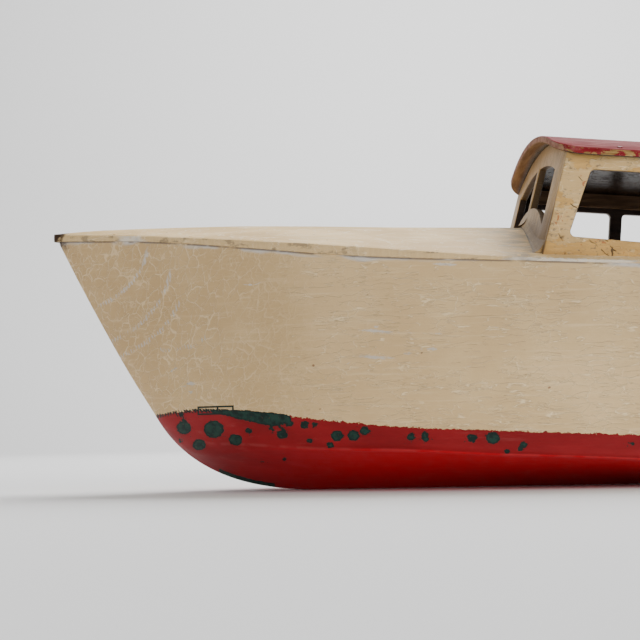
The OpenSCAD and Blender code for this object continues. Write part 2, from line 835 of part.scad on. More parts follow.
// The stock is slit at its lower end to take the blade.
module rudder_stock() {
    low = 8;
    color(brass) place() translate([rudder_s, 0, 0]) difference() {
        translate([0, 0, low]) cylinder(r = stock_r, h = tiller_z + 5 - low);
        translate([-5, -rudder_t / 2, low - 1]) cube([10, rudder_t, blade_top - low + 1]);
    }
}

// Flat blade with round lower corners.
module rudder_blade() {
    fore = 9;
    aft = 18;
    low = 3;
    r = 5;
    color(brass) place() translate([rudder_s, rudder_t / 2, 0]) rotate([90, 0, 0]) linear_extrude(rudder_t) {
        translate([-fore, low + r]) square([fore + aft, blade_top - low - r]);
        translate([r - fore, low]) square([fore + aft - 2 * r, r]);
        for (x = [r - fore, aft - r]) translate([x, low + r]) circle(r = r);
    }
}

module tiller() {
    arm_l = 42;
    color(brass) place() translate([rudder_s, 0, tiller_z]) difference() {
        union() {
            cylinder(r = 4, h = 4);
            translate([-arm_l, -2, 0.8]) cube([arm_l, 4, 1.6]);
            translate([-arm_l, 0, 0.8]) cylinder(r = 2.8, h = 1.6);
        }
        translate([0, 0, -1]) cylinder(r = stock_r, h = 10);
    }
}

// ---- battery and switch -------------------------------------------------------------------

cell_l = 61;
cell_y = 37;
cell_s = hatch_start + 3;
clip_t = 1;                          // thickness of the clips' tin
cell_z = chine_z(cell_s + cell_l + clip_t) + bottom_t + clip_t + cell_d / 2;

module cell(side) {
    color("dimgray") place() translate([cell_s, side * cell_y, cell_z]) {
        rod(cell_d / 2, cell_l - 1.5);
        translate([cell_l - 1.5, 0, 0]) rod(4.5, 1.5);
    }
}

module cell_port() {
    cell(-1);
}

module cell_starboard() {
    cell(1);
}

// Tin clip: a floor plate with an upright tongue at each end of the cell.
module cell_clip(side) {
    clip_w = 14;
    clip_h = 24;
    plate_z = cell_z - cell_d / 2 - clip_t;
    color(steel) place() translate([cell_s - clip_t, side * cell_y - clip_w / 2, plate_z]) {
        cube([cell_l + 2 * clip_t, clip_w, clip_t]);
        for (x = [0, cell_l + clip_t]) translate([x, 0, 0]) cube([clip_t, clip_w, clip_h]);
    }
}

module cell_clip_port() {
    cell_clip(-1);
}

module cell_clip_starboard() {
    cell_clip(1);
}

switch_y = -38;
switch_z = 84;
switch_s = after_face(switch_z);

switch_pin_r = 0.6;
switch_pin_x = 4.4;                  // how far the lever's pivot stands off the bulkhead

// A frame on the bulkhead's after face, x pointing away from it.
module on_bulkhead() {
    translate([switch_s, switch_y, switch_z]) rotate([0, post_lean, 0]) children();
}

// Block with a slot for the lever and a hole across it for the lever's pin.
module switch_base() {
    color("dimgray") place() on_bulkhead() difference() {
        translate([0.1, -7, -10]) cube([6.5, 14, 20]);
        translate([2.5, -2, -8]) cube([5, 4, 16]);
        translate([switch_pin_x, 5, 0]) rotate([90, 0, 0]) cylinder(r = switch_pin_r + running, h = 10);
    }
}

module switch_lever() {
    color(steel) place() on_bulkhead() translate([switch_pin_x, 0, 0]) rotate([0, -28, 0]) {
        translate([0, 1.6, 0]) rotate([90, 0, 0]) cylinder(r = 1.4, h = 3.2);
        translate([0, 4.8, 0]) rotate([90, 0, 0]) cylinder(r = switch_pin_r, h = 9.6);
        rod(1, 11);
        translate([11, 0, 0]) sphere(r = 1.9);
    }
}

hull_body();
transom();
skeg();
deck();
aft_deck();
beam_fore();
beam_cabin();
beam_aft();
deck_pins();
cabin_front();
cabin_side_port();
cabin_side_starboard();
cabin_back();
cabin_cove();
roof_strip_port();
roof_strip_starboard();
cabin_roof();
roof_pins();
cabin_floor();
bearer_fore();
bearer_mid();
bearer_aft();
cockpit_floor();
floor_hatch();
hatch_knob();
coaming_port();
coaming_starboard();
coaming_aft();
hatch_ledge_port();
hatch_ledge_starboard();
seat_board();
seat_front();
motor_bed();
motor_case();
motor_shaft();
motor_strap();
coupling();
propeller_shaft();
stern_tube();
propeller();
propeller_nut();
rudder_tube();
rudder_blade();
rudder_stock();
tiller();
cell_port();
cell_starboard();
cell_clip_port();
cell_clip_starboard();
switch_base();
switch_lever();
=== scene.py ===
"""Looks of the toy boat: worn cream, red and green paint over wood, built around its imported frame.

Lengths are in millimetres from the tip of the bow until point() turns them into the frame's metres.
"""

import json
import math
import random

import bmesh
import bpy
import numpy as np
from mathutils import Matrix, Vector, noise


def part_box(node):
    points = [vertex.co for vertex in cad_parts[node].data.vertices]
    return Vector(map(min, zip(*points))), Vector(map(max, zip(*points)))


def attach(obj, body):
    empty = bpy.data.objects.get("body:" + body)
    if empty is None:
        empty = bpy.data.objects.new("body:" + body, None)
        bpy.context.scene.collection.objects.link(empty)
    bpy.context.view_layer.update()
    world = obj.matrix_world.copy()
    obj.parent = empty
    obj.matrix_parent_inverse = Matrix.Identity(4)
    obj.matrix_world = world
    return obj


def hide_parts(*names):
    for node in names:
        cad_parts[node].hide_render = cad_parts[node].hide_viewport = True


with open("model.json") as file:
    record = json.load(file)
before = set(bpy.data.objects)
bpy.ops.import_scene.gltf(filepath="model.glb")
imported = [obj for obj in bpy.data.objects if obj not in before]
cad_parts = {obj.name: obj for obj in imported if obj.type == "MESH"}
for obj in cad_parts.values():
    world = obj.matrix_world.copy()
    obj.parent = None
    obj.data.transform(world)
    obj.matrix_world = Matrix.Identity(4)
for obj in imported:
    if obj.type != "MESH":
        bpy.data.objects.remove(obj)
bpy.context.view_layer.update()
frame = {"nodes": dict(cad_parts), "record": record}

MM = 0.001
HULL_L = 600.0
SIDE_T = 7.0
BOTTOM_T = 9.0
DECK_T = 4.5
BOARD_GAP = 0.3
TRANSOM_T = 6.0
FLAT_START = 395.0
RUN_START = 440.0
RUN_FULL = 505.0
RUN_SLOPE = 0.33
SIDING = 2.2
RIDGE_R = 5.0
BULGE = 1.4
STEM_TOP = 123.6
STEM_ROUND = 2.8
STEM_FOOT = (47.0, 36.4)
FOREFOOT_END = 124.0
CABIN_W = 135.0
SCREEN_Z = 148.0
SCREEN_S = 231.5
SCREEN_BOW = 1.5
SCREEN_RAKE = math.radians(15)

# The hull's lines, as (distance from the bow, value).
SHEER_HALF = [(0, 0.8), (10, 7.5), (23, 15), (44, 27.5), (72, 43), (95, 54), (123, 64.5), (158, 72),
              (200, 74.5), (250, 75), (320, 75), (400, 74.4), (500, 70.5), (600, 62)]
SHEER_HEIGHT = [(0, 119), (44, 115.4), (95, 108.6), (125, 104.6), (158, 101.8), (210, 99.7),
                (262, 97.6), (330, 95.6), (400, 94.4), (480, 94.2), (600, 96.5)]
CHINE_HALF = [(0, 0.6), (10, 4.6), (23, 8.8), (44, 14), (52, 15.5), (60, 18), (72, 24.5), (87, 33),
              (122, 49), (157, 60), (200, 68.3), (260, 71.6), (330, 72), (400, 71), (500, 66.5),
              (600, 58)]
CHINE_HEIGHT = [(0, 121), (10, 109.5), (23, 90), (44, 54), (52, 37), (60, 27), (72, 22.8), (87, 22),
                (122, 19.5), (157, 18.2), (200, 15.7), (260, 12.6), (300, 9), (340, 4.6), (375, 1),
                (395, 0)]
CHINE_SOFTNESS = [(0, 0.96), (52, 0.94), (72, 0.55), (90, 0.2), (120, 0.05), (600, 0.03)]
CROWN_HEIGHT = [(0, 122.6), (22, 124.1), (84, 125.3), (126, 124.8), (165, 123.9), (213, 123.2),
                (300, 121), (400, 116), (500, 110), (600, 107.5)]
DECK_EDGE = [(0, 2.6), (44, 2.6), (95, 3.6), (125, 4.4), (158, 3.8), (192, 2.2), (215, 1.5), (600, 1.5)]

FAR = 50.0            # a gap so wide that no mark is near
CUT_LOW = 60.0        # heights between which a cutter passes through the deck
CUT_HIGH = 180.0
SHARP = 32            # degrees at which the hull's and decks' edges stay sharp

# Top of the bottom paint, as (distance from the bow, height).
WATERLINE = [(40, 35), (60, 37.5), (70, 38), (95, 36), (125, 32), (160, 28.3), (200, 26), (260, 23.3),
             (340, 21), (450, 21), (600, 30)]


# ---- lines ---------------------------------------------------------------------------------


def fair(line, s):
    """A fair curve through the points of a line, read at a distance s from the bow."""
    last = len(line) - 1
    i = 0
    while i < last - 1 and s > line[i + 1][0]:
        i += 1

    def slope(k):
        a, b = line[max(k - 1, 0)], line[min(k + 1, last)]
        return (b[1] - a[1]) / (b[0] - a[0])

    width = line[i + 1][0] - line[i][0]
    t = (s - line[i][0]) / width
    start = (2 * t**3 - 3 * t**2 + 1) * line[i][1] + (t**3 - 2 * t**2 + t) * width * slope(i)
    end = (3 * t**2 - 2 * t**3) * line[i + 1][1] + (t**3 - t**2) * width * slope(i + 1)
    return start + end


def keel_z(s):
    """Height of the stem, forefoot, keel or run."""
    slope = (STEM_TOP - STEM_FOOT[1]) / STEM_FOOT[0]
    if s < STEM_FOOT[0]:
        t = s / STEM_FOOT[0]
        return STEM_TOP - slope * s - STEM_ROUND * 4 * t * (1 - t)
    if s < FOREFOOT_END:
        middle = STEM_FOOT[0] + STEM_FOOT[1] / slope
        a = STEM_FOOT[0] - 2 * middle + FOREFOOT_END
        b = 2 * (middle - STEM_FOOT[0])
        t = (math.sqrt(b * b - 4 * a * (STEM_FOOT[0] - s)) - b) / (2 * a)
        return STEM_FOOT[1] * (1 - t) ** 2
    if s < RUN_START:
        return 0.0
    if s < RUN_FULL:
        return RUN_SLOPE * (s - RUN_START) ** 2 / (2 * (RUN_FULL - RUN_START))
    return RUN_SLOPE * (s - (RUN_START + RUN_FULL) / 2)


def chine_z(s):
    return keel_z(s) if s > FLAT_START else fair(CHINE_HEIGHT, s)


def deck_z(s, y):
    """Height of the deck's top: a rounded ridge that falls straight to the deck's edge."""

    def ridge(v):
        return math.hypot(v, RIDGE_R) - RIDGE_R

    crown = fair(CROWN_HEIGHT, s)
    edge = fair(SHEER_HEIGHT, s) + fair(DECK_EDGE, s)
    return crown - (crown - edge) * ridge(y) / ridge(fair(SHEER_HALF, s))


def bezier(p, c, q, t):
    return (1 - t) ** 2 * p + 2 * t * (1 - t) * c + t * t * q


def hull_half(s):
    """Half a section of the hull as (y, z), from the sheer down to the keel."""
    keel = np.array([min(SIDING, 0.4 * fair(CHINE_HALF, s)), keel_z(s)])
    chine = np.array([fair(CHINE_HALF, s), chine_z(s)])
    sheer = np.array([fair(SHEER_HALF, s), fair(SHEER_HEIGHT, s)])
    soft = fair(CHINE_SOFTNESS, s)
    low = chine + soft * (keel - chine)
    high = chine + soft * (sheer - chine)
    out = np.array([1.0, 0.0])
    side = [high + t * (sheer - high) + out * 4 * t * (1 - t) * (1 - soft) * BULGE
            for t in np.linspace(1, 0, 36)[:-1]]
    bend = [bezier(low, chine, high, t) for t in np.linspace(1, 0, 53)]
    bottom = [low + t * (keel - low) for t in np.linspace(0, 1, 17)[1:]]
    return side + bend + bottom


def hollow_half(s):
    """Half a section of the hollow inside the hull, from above the sheer down to its floor."""
    floor_h = chine_z(s) + BOTTOM_T
    y_low = fair(CHINE_HALF, s) - SIDE_T - 1
    y_top = fair(SHEER_HALF, s) - SIDE_T
    sheer = fair(SHEER_HEIGHT, s)
    lean = (y_top - y_low) / (sheer - floor_h)
    side = np.array([y_low + lean * 14, floor_h + 14])
    corner = [bezier(np.array([y_low - 12, floor_h]), np.array([y_low, floor_h]), side, t)
              for t in np.linspace(1, 0, 9)]
    return [np.array([y_top + lean * 12, sheer + 12])] + corner


def deck_half(s):
    """Half a section of the deck board, from its middle out along the bottom and back over the top."""
    w = fair(SHEER_HALF, s)
    low = fair(SHEER_HEIGHT, s)
    top = deck_z(s, w)
    ease_top = min(0.8, (top - low) * 0.35, w * 0.3)
    ease_low = min(0.45, (top - low) * 0.2, w * 0.2)
    quarter = [math.radians(a) for a in (0, 22, 45, 68, 90)]
    under = [(y, max(low, deck_z(s, y) - DECK_T)) for y in np.linspace(0, w - ease_low, 9)[:-1]]
    lower = [(w - ease_low + ease_low * math.sin(a), low + ease_low - ease_low * math.cos(a))
             for a in quarter]
    upper = [(w - ease_top + ease_top * math.cos(a), top - ease_top + ease_top * math.sin(a))
             for a in quarter]
    inner = w - ease_top
    over = [(y, deck_z(s, y)) for y in (inner * (1 - (i / 44) ** 1.15) for i in range(1, 45))]
    return [np.array(p) for p in under + lower + upper + over]


def point(s, y, z):
    return ((s - HULL_L / 2) * MM, y * MM, z * MM)


def steps(start, end, size):
    return list(np.linspace(start, end, max(2, int(round((end - start) / size)) + 1)))


def mirrored(half):
    """A closed section from a half one, going round once."""
    return [(-p[0], p[1]) for p in half] + [(p[0], p[1]) for p in reversed(half)]


# ---- making meshes -------------------------------------------------------------------------


def new_object(name, mesh):
    piece = bpy.data.objects.new(name, mesh)
    bpy.context.scene.collection.objects.link(piece)
    return piece


def loft(name, rings):
    """A closed skin over a row of sections, each a list of points that goes round once."""
    count = len(rings[0])
    verts = [p for ring in rings for p in ring]
    faces = []
    for r in range(len(rings) - 1):
        for i in range(count):
            j = (i + 1) % count
            faces.append((r * count + i, r * count + j, (r + 1) * count + j, (r + 1) * count + i))
    faces.append(tuple(range(count))[::-1])
    faces.append(tuple(range((len(rings) - 1) * count, len(rings) * count)))
    mesh = bpy.data.meshes.new(name)
    mesh.from_pydata(verts, [], faces)
    work = bmesh.new()
    work.from_mesh(mesh)
    bmesh.ops.remove_doubles(work, verts=work.verts, dist=0.002 * MM)
    bmesh.ops.recalc_face_normals(work, faces=work.faces)
    work.to_mesh(mesh)
    work.free()
    return new_object(name, mesh)


def cut(piece, cutter):
    """Takes the cutter out of the piece; the cut faces keep the cutter's material."""
    change = piece.modifiers.new("cut", "BOOLEAN")
    change.operation = "DIFFERENCE"
    change.solver = "EXACT"
    change.material_mode = "TRANSFER"
    change.object = cutter
    settle(piece)
    bpy.data.objects.remove(cutter)


def settle(piece):
    """Puts the result of the piece's modifiers into its mesh."""
    shapes = bpy.context.evaluated_depsgraph_get()
    mesh = bpy.data.meshes.new_from_object(piece.evaluated_get(shapes))
    piece.modifiers.clear()
    piece.data = mesh


def smooth(piece, angle):
    piece.data.shade_smooth()
    piece.data.set_sharp_from_angle(angle=math.radians(angle))


def put_material(piece, material):
    piece.data.materials.clear()
    piece.data.materials.append(material)


def stand_for(piece, node, body="boat"):
    """The piece takes the place of a CAD node, which is hidden, and joins that node's body."""
    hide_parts(node)
    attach(piece, body)


SLOT_OF = {row["node"]: row["material_slot"] for row in frame["record"]["subparts"]}
BODY_OF = {node: name for name, nodes in frame["record"]["behaviour"]["bodies"].items() for node in nodes}


def eased(node, width):
    """A new piece like a CAD node, with its sharp edges eased, in place of that node."""
    sharp_from = math.radians(28)
    work = bmesh.new()
    work.from_mesh(frame["nodes"][node].data)
    bmesh.ops.remove_doubles(work, verts=work.verts, dist=0.002 * MM)
    bmesh.ops.dissolve_limit(work, angle_limit=math.radians(0.6), verts=work.verts, edges=work.edges)
    sharp = [e for e in work.edges if len(e.link_faces) == 2 and e.calc_face_angle(0) > sharp_from]
    bmesh.ops.bevel(work, geom=sharp, offset=width * MM, segments=3, profile=0.5, affect="EDGES",
                    clamp_overlap=True)
    mesh = bpy.data.meshes.new(node + "_eased")
    work.to_mesh(mesh)
    work.free()
    piece = new_object(node + "_eased", mesh)
    smooth(piece, 40)
    stand_for(piece, node, BODY_OF[node])
    return piece


# ---- node materials ------------------------------------------------------------------------


class Finish:
    """A material under construction. Each method adds nodes and returns their output."""

    def __init__(self, name, metallic=0.0, coat=0.0, sheen=0.25):
        self.material = bpy.data.materials.new(name)
        self.material.use_nodes = True
        self.tree = self.material.node_tree
        self.shader = self.tree.nodes["Principled BSDF"]
        self.shader.inputs["Metallic"].default_value = metallic
        self.shader.inputs["Coat Weight"].default_value = coat
        self.shader.inputs["Coat Roughness"].default_value = 0.25
        self.shader.inputs["Specular IOR Level"].default_value = 0.5 if metallic else sheen

    def feed(self, socket, value):
        if isinstance(value, bpy.types.NodeSocket):
            self.tree.links.new(value, socket)
        else:
            socket.default_value = value

    def place(self):
        """Position on the object, in millimetres."""
        coords = self.tree.nodes.new("ShaderNodeTexCoord")
        return self.scaled(coords.outputs["Object"], (1 / MM,) * 3)

    def normal(self):
        return self.tree.nodes.new("ShaderNodeNewGeometry").outputs["Normal"]

    def part_of(self, vector, axis):
        split = self.tree.nodes.new("ShaderNodeSeparateXYZ")
        self.feed(split.inputs[0], vector)
        return split.outputs[axis]

    def measure(self, name):
        """A length kept at each point of the mesh."""
        node = self.tree.nodes.new("ShaderNodeAttribute")
        node.attribute_name = name
        return node.outputs["Fac"]

    def scaled(self, vector, factors):
        node = self.tree.nodes.new("ShaderNodeVectorMath")
        node.operation = "MULTIPLY"
        self.feed(node.inputs[0], vector)
        self.feed(node.inputs[1], factors)
        return node.outputs[0]

    def turned(self, vector, degrees):
        """Turned about the Y axis, across the boat."""
        node = self.tree.nodes.new("ShaderNodeVectorRotate")
        node.rotation_type = "Y_AXIS"
        self.feed(node.inputs["Vector"], vector)
        node.inputs["Angle"].default_value = math.radians(degrees)
        return node.outputs[0]

    def math(self, operation, a, b=0.0):
        node = self.tree.nodes.new("ShaderNodeMath")
        node.operation = operation
        self.feed(node.inputs[0], a)
        self.feed(node.inputs[1], b)
        return node.outputs[0]

    def noise(self, vector, size, detail=3.0, rough=0.55):
        """Cloudy values around a half, with features about size millimetres across."""
        node = self.tree.nodes.new("ShaderNodeTexNoise")
        self.feed(node.inputs["Vector"], vector)
        node.inputs["Scale"].default_value = 1 / size
        node.inputs["Detail"].default_value = detail
        node.inputs["Roughness"].default_value = rough
        return node.outputs["Fac"]

    def wander(self, vector, size, amount):
        """The vector pushed about by noise, so that lines through it wander."""
        node = self.tree.nodes.new("ShaderNodeTexNoise")
        self.feed(node.inputs["Vector"], vector)
        node.inputs["Scale"].default_value = 1 / size
        push = self.scaled(node.outputs["Color"], (amount,) * 3)
        add = self.tree.nodes.new("ShaderNodeVectorMath")
        self.feed(add.inputs[0], vector)
        self.feed(add.inputs[1], push)
        return add.outputs[0]

    def cells(self, vector, size, feature="DISTANCE_TO_EDGE"):
        node = self.tree.nodes.new("ShaderNodeTexVoronoi")
        node.feature = feature
        self.feed(node.inputs["Vector"], vector)
        node.inputs["Scale"].default_value = 1 / size
        return node.outputs["Distance"]

    def step(self, value, low, high):
        """0 below low, 1 above high and smooth between; low may be the greater."""
        node = self.tree.nodes.new("ShaderNodeMapRange")
        node.interpolation_type = "SMOOTHSTEP"
        rising = low < high
        self.feed(node.inputs["Value"], value)
        node.inputs["From Min"].default_value = min(low, high)
        node.inputs["From Max"].default_value = max(low, high)
        node.inputs["To Min"].default_value = 0.0 if rising else 1.0
        node.inputs["To Max"].default_value = 1.0 if rising else 0.0
        return node.outputs[0]

    def mix(self, share, below, above):
        node = self.tree.nodes.new("ShaderNodeMix")
        node.data_type = "RGBA"
        self.feed(node.inputs[0], share)
        self.feed(node.inputs[6], self.rgba(below))
        self.feed(node.inputs[7], self.rgba(above))
        return node.outputs[2]

    @staticmethod
    def rgba(colour):
        return colour if isinstance(colour, bpy.types.NodeSocket) else (*colour, 1.0)

    def both(self, a, b):
        return self.math("MULTIPLY", a, b)

    def either(self, a, b):
        return self.math("MAXIMUM", a, b)

    def edges(self, radius):
        """1 near the piece's outer and inner edges, fading out over radius millimetres."""
        node = self.tree.nodes.new("ShaderNodeBevel")
        node.samples = 6
        node.inputs["Radius"].default_value = radius * MM
        dot = self.tree.nodes.new("ShaderNodeVectorMath")
        dot.operation = "DOT_PRODUCT"
        self.feed(dot.inputs[0], node.outputs[0])
        self.feed(dot.inputs[1], self.normal())
        return self.step(dot.outputs["Value"], 0.995, 0.75)

    def bump(self, heights):
        """Bumps one over another, each a (height socket, depth in millimetres)."""
        under = None
        for height, depth in heights:
            node = self.tree.nodes.new("ShaderNodeBump")
            node.inputs["Distance"].default_value = depth * MM
            node.inputs["Strength"].default_value = 1.0
            self.feed(node.inputs["Height"], height)
            if under is not None:
                self.feed(node.inputs["Normal"], under)
            under = node.outputs[0]
        return under

    def done(self, colour, roughness, normal=None):
        self.feed(self.shader.inputs["Base Color"], self.rgba(colour))
        self.feed(self.shader.inputs["Roughness"], roughness)
        if normal is not None:
            self.feed(self.shader.inputs["Normal"], normal)
        return self.material


CREAM = (0.70, 0.495, 0.250)
CREAM_DEEP = (0.62, 0.425, 0.205)
CREAM_PALE = (0.88, 0.69, 0.41)
DECK_CREAM = (0.86, 0.62, 0.31)
DECK_WORN = (0.66, 0.45, 0.20)
PRIMER = (0.60, 0.565, 0.52)
RED = (0.33, 0.006, 0.010)
RED_DEEP = (0.24, 0.002, 0.005)
# Lighter red for the bottom's down-facing faces: painted light standing in for light thrown up from the
# floor.
RED_BOUNCE_LIT = (0.66, 0.001, 0.014)
ROOF_RED = (0.17, 0.006, 0.010)
ROOF_FADED = (0.38, 0.13, 0.12)
GREEN = (0.010, 0.048, 0.034)
GREEN_DARK = (0.004, 0.018, 0.014)
BARE_TAN = (0.68, 0.39, 0.10)
OCHRE = (0.40, 0.25, 0.09)
CHIP_WHITE = (0.86, 0.78, 0.66)
BARE_DARK = (0.055, 0.032, 0.020)
RUST_STAIN = (0.42, 0.13, 0.04)
DIRT = (0.16, 0.12, 0.085)


def strokes(f, p, size, width):
    """Short wavy lines along the boat."""
    stretched = f.scaled(f.wander(p, 9, 3.0), (0.15, 0.15, 1.0))
    off = f.math("ABSOLUTE", f.math("SUBTRACT", f.noise(stretched, size, 2), 0.5))
    return f.step(off, width, 0.25 * width)


def crackle(f, p):
    """Share of raised cracks: short wavy lines along the boat, netted in patches."""
    lines = f.both(strokes(f, p, 3.4, 0.018), f.step(f.noise(p, 8, 2), 0.44, 0.54))
    fine = f.both(strokes(f, p, 1.8, 0.020), f.step(f.noise(p, 11, 2), 0.50, 0.60))
    net = f.step(f.cells(f.scaled(f.wander(p, 4, 3.0), (0.40, 0.40, 1.0)), 3.4), 0.030, 0.008)
    net = f.both(net, f.step(f.noise(p, 19, 2), 0.46, 0.58))
    return f.either(f.either(lines, f.both(fine, 0.7)), f.both(net, 0.8))


def bow_crackle(f, p):
    """Share of raised cracks near the bow, which run every way."""
    slanted = f.scaled(f.turned(f.wander(p, 7, 5.0), -28), (1.0, 0.5, 0.42))
    lines = f.step(f.cells(slanted, 4.2), 0.050, 0.012)
    short = f.step(f.cells(f.wander(p, 4, 4.0), 4.4), 0.048, 0.012)
    patch = f.step(f.noise(p, 12, 2), 0.28, 0.44)
    return f.both(f.either(lines, f.both(short, 0.7)), patch)


def cream_paint(f, p, base, deep, pale, bow=None):
    """Colour, cracks and brush marks of aged cream paint; bow is 1 where the bow's cracks are."""
    cloud = f.noise(p, 38, 4)
    colour = f.mix(f.step(cloud, 0.35, 0.68), deep, base)
    brushed = f.noise(f.scaled(p, (0.06, 0.06, 1.0)), 1.6, 3, 0.6)
    colour = f.mix(f.both(f.step(brushed, 0.52, 0.80), 0.45), colour, pale)
    colour = f.mix(f.both(f.step(brushed, 0.46, 0.25), 0.35), colour, deep)
    cracks = crackle(f, p)
    if bow is not None:
        cracks = f.either(f.both(cracks, f.math("SUBTRACT", 1.0, bow)), f.both(bow_crackle(f, p), bow))
    share = 0.7 if bow is None else f.math("MAXIMUM", f.both(bow, 0.85), 0.7)
    # Painted highlight: the raised crack lines are made paler, standing in for light caught on their ridges.
    colour = f.mix(f.both(cracks, share), colour, pale)
    shaded = f.step(f.noise(p, 0.9, 2), 0.56, 0.74)
    colour = f.mix(f.both(shaded, 0.22), colour, deep)
    nicks = f.step(f.cells(f.wander(p, 3, 2.0), 15, "F1"), 0.050, 0.030)
    colour = f.mix(f.both(nicks, 0.75), colour, (0.20, 0.07, 0.035))
    return colour, cracks, brushed


def red_paint(f, p):
    """Colour of the worn red bottom paint and its streaks."""
    cloud = f.noise(f.scaled(p, (0.25, 1, 1)), 13, 4)
    colour = f.mix(f.step(cloud, 0.35, 0.7), RED_DEEP, RED)
    rubbed = f.noise(f.scaled(p, (0.08, 0.5, 1)), 3.2, 4, 0.65)
    colour = f.mix(f.both(f.step(rubbed, 0.56, 0.82), 0.35), colour, (0.42, 0.10, 0.09))
    specks = f.step(f.cells(f.wander(p, 3, 2.0), 13, "F1"), 0.05, 0.03)
    return f.mix(f.both(specks, 0.7), colour, GREEN_DARK), rubbed


def window_frames(f, p):
    """Gap to the thin green outlines of two cream patches over the port waterline."""
    middle_s, middle_z = 76, 37.6
    half_l, half_h, half_line = 8.0, 1.6, 0.4
    bar_s = 77
    s, z = f.part_of(p, 0), f.part_of(p, 2)
    port = f.step(f.part_of(p, 1), 0, -1)
    across = f.math("ABSOLUTE", f.math("SUBTRACT", s, middle_s - HULL_L / 2))
    up = f.math("ABSOLUTE", f.math("SUBTRACT", z, middle_z))
    within = f.math("SUBTRACT", up, half_h)
    outline = f.either(f.math("SUBTRACT", across, half_l), within)
    bar = f.either(f.math("ABSOLUTE", f.math("SUBTRACT", s, bar_s - HULL_L / 2)), within)
    line = f.math("MINIMUM", f.math("ABSOLUTE", outline), bar)
    gap = f.math("SUBTRACT", line, half_line)
    return f.math("ADD", gap, f.both(f.math("SUBTRACT", 1.0, port), FAR))


def hull_finish():
    """Cream above the waterline and red below, with the older green showing through."""
    f = Finish("hull_paint", coat=0.03)
    p = f.place()
    bow = f.step(f.part_of(p, 0), -165, -236)
    cream, cracks, brushed = cream_paint(f, p, CREAM, CREAM_DEEP, CREAM_PALE, bow)
    # Painted shade: the cream is darker towards the bow, where the side turns away from the light.
    cream = f.mix(f.step(f.part_of(p, 0), -110, -290), cream, f.scaled(cream, (0.84, 0.80, 0.76)))
    # Painted light: the cream is lighter low on the topsides, standing in for light thrown up from the floor.
    cream = f.mix(f.step(f.part_of(p, 2), 85, 25), cream, f.scaled(cream, (1.26, 1.28, 1.30)))

    ragged = f.math("SUBTRACT", f.noise(p, 2.6, 4, 0.65), 0.5)
    coarse = f.math("SUBTRACT", f.noise(f.scaled(p, (0.5, 0.5, 1)), 8, 3), 0.5)

    ring = f.math("ADD", f.measure("ring_gap"), f.both(ragged, 1.6))
    ring = f.both(f.step(ring, 0.25, -0.25), f.step(f.noise(p, 7, 2), 0.34, 0.48))
    cream = f.mix(f.both(ring, 0.75), cream, PRIMER)
    flake = f.noise(f.scaled(f.wander(p, 11, 6.0), (0.16, 0.3, 1)), 4.2, 3, 0.6)
    flaked = f.both(f.step(flake, 0.69, 0.72), f.step(f.noise(p, 34, 1), 0.50, 0.58))
    cream = f.mix(f.both(flaked, 0.8), cream, PRIMER)

    seam = f.measure("seam_gap")
    seam_wear = f.step(f.math("ADD", seam, f.both(coarse, 5.0)), 2.0, 0.6)
    seam_wear = f.both(seam_wear, f.step(f.noise(f.scaled(p, (0.3, 1, 1)), 12, 2), 0.38, 0.50))
    cream = f.mix(f.both(seam_wear, 0.85), cream, PRIMER)
    dark_seam = f.both(f.step(seam, 1.0, 0.3), f.step(f.noise(f.scaled(p, (0.3, 1, 1)), 7, 3), 0.36, 0.48))
    cream = f.mix(f.both(dark_seam, 0.85), cream, DIRT)

    tip = f.step(f.math("ADD", f.measure("tip_gap"), f.both(ragged, 9.0)), 12.0, 7.0)
    stem = f.step(f.math("ADD", f.measure("stem_gap"), f.both(ragged, 3.2)), 0.9, 0.2)
    stem = f.both(stem, f.step(f.noise(p, 10, 3), 0.50, 0.58))
    cream = f.mix(f.either(tip, stem), cream, BARE_DARK)

    red = red_paint(f, p)[0]
    # Painted light: the bottom's down-facing faces, aft of the bow, get a lighter red in place of light from
    # the floor.
    bottom = f.both(f.step(f.part_of(f.normal(), 2), -0.45, -0.75), f.step(f.part_of(p, 0), -230, -130))
    red = f.mix(bottom, red, RED_BOUNCE_LIT)
    # Painted highlight: a faint pinkish line along the chine's edge.
    chine = f.both(f.step(f.measure("chine_gap"), 1.1, 0.1), f.step(f.noise(p, 9, 3), 0.40, 0.62))
    red = f.mix(f.both(chine, 0.22), red, (0.50, 0.12, 0.11))

    fringe = f.math("SUBTRACT", f.noise(f.scaled(p, (0.6, 0.6, 1)), 1.3, 3, 0.7), 0.5)
    above = f.math("ADD", f.measure("above_line"), f.both(fringe, 3.2))
    level = f.step(above, -0.12, 0.12)
    colour = f.mix(level, red, cream)

    old = f.math("ADD", f.measure("green_gap"), f.both(fringe, 1.9))
    old = f.math("MINIMUM", old, window_frames(f, p))
    fleck = f.both(f.step(f.noise(p, 1.3, 3), 0.66, 0.72), f.step(above, 0.5, -0.5))
    green = f.either(f.step(old, 0.12, -0.12), f.both(fleck, f.step(old, 2.6, 1.2)))
    core = f.step(old, -0.35, -0.8)
    shade = f.mix(f.both(core, f.step(f.noise(p, 3, 3), 0.35, 0.60)), GREEN_DARK, GREEN)
    shade = f.mix(f.both(core, f.step(f.noise(p, 0.8, 2), 0.66, 0.74)), shade, (0.10, 0.05, 0.03))
    colour = f.mix(green, colour, shade)

    paint_step = f.math("SUBTRACT", level, f.both(green, 0.8))
    rough = f.math("ADD", 0.40, f.both(f.noise(p, 12, 3), 0.22))
    bump = f.bump([(brushed, 0.12), (f.both(cracks, level), 0.18), (paint_step, 0.10),
                   (f.noise(p, 1.2, 3), 0.04)])
    return f.done(colour, rough, bump)


def red_finish():
    f = Finish("bottom_paint", coat=0.12)
    p = f.place()
    colour, rubbed = red_paint(f, p)
    worn = f.both(f.edges(0.8), f.step(f.noise(p, 5, 3), 0.46, 0.56))
    return f.done(f.mix(worn, colour, BARE_DARK), 0.45, f.bump([(rubbed, 0.08)]))


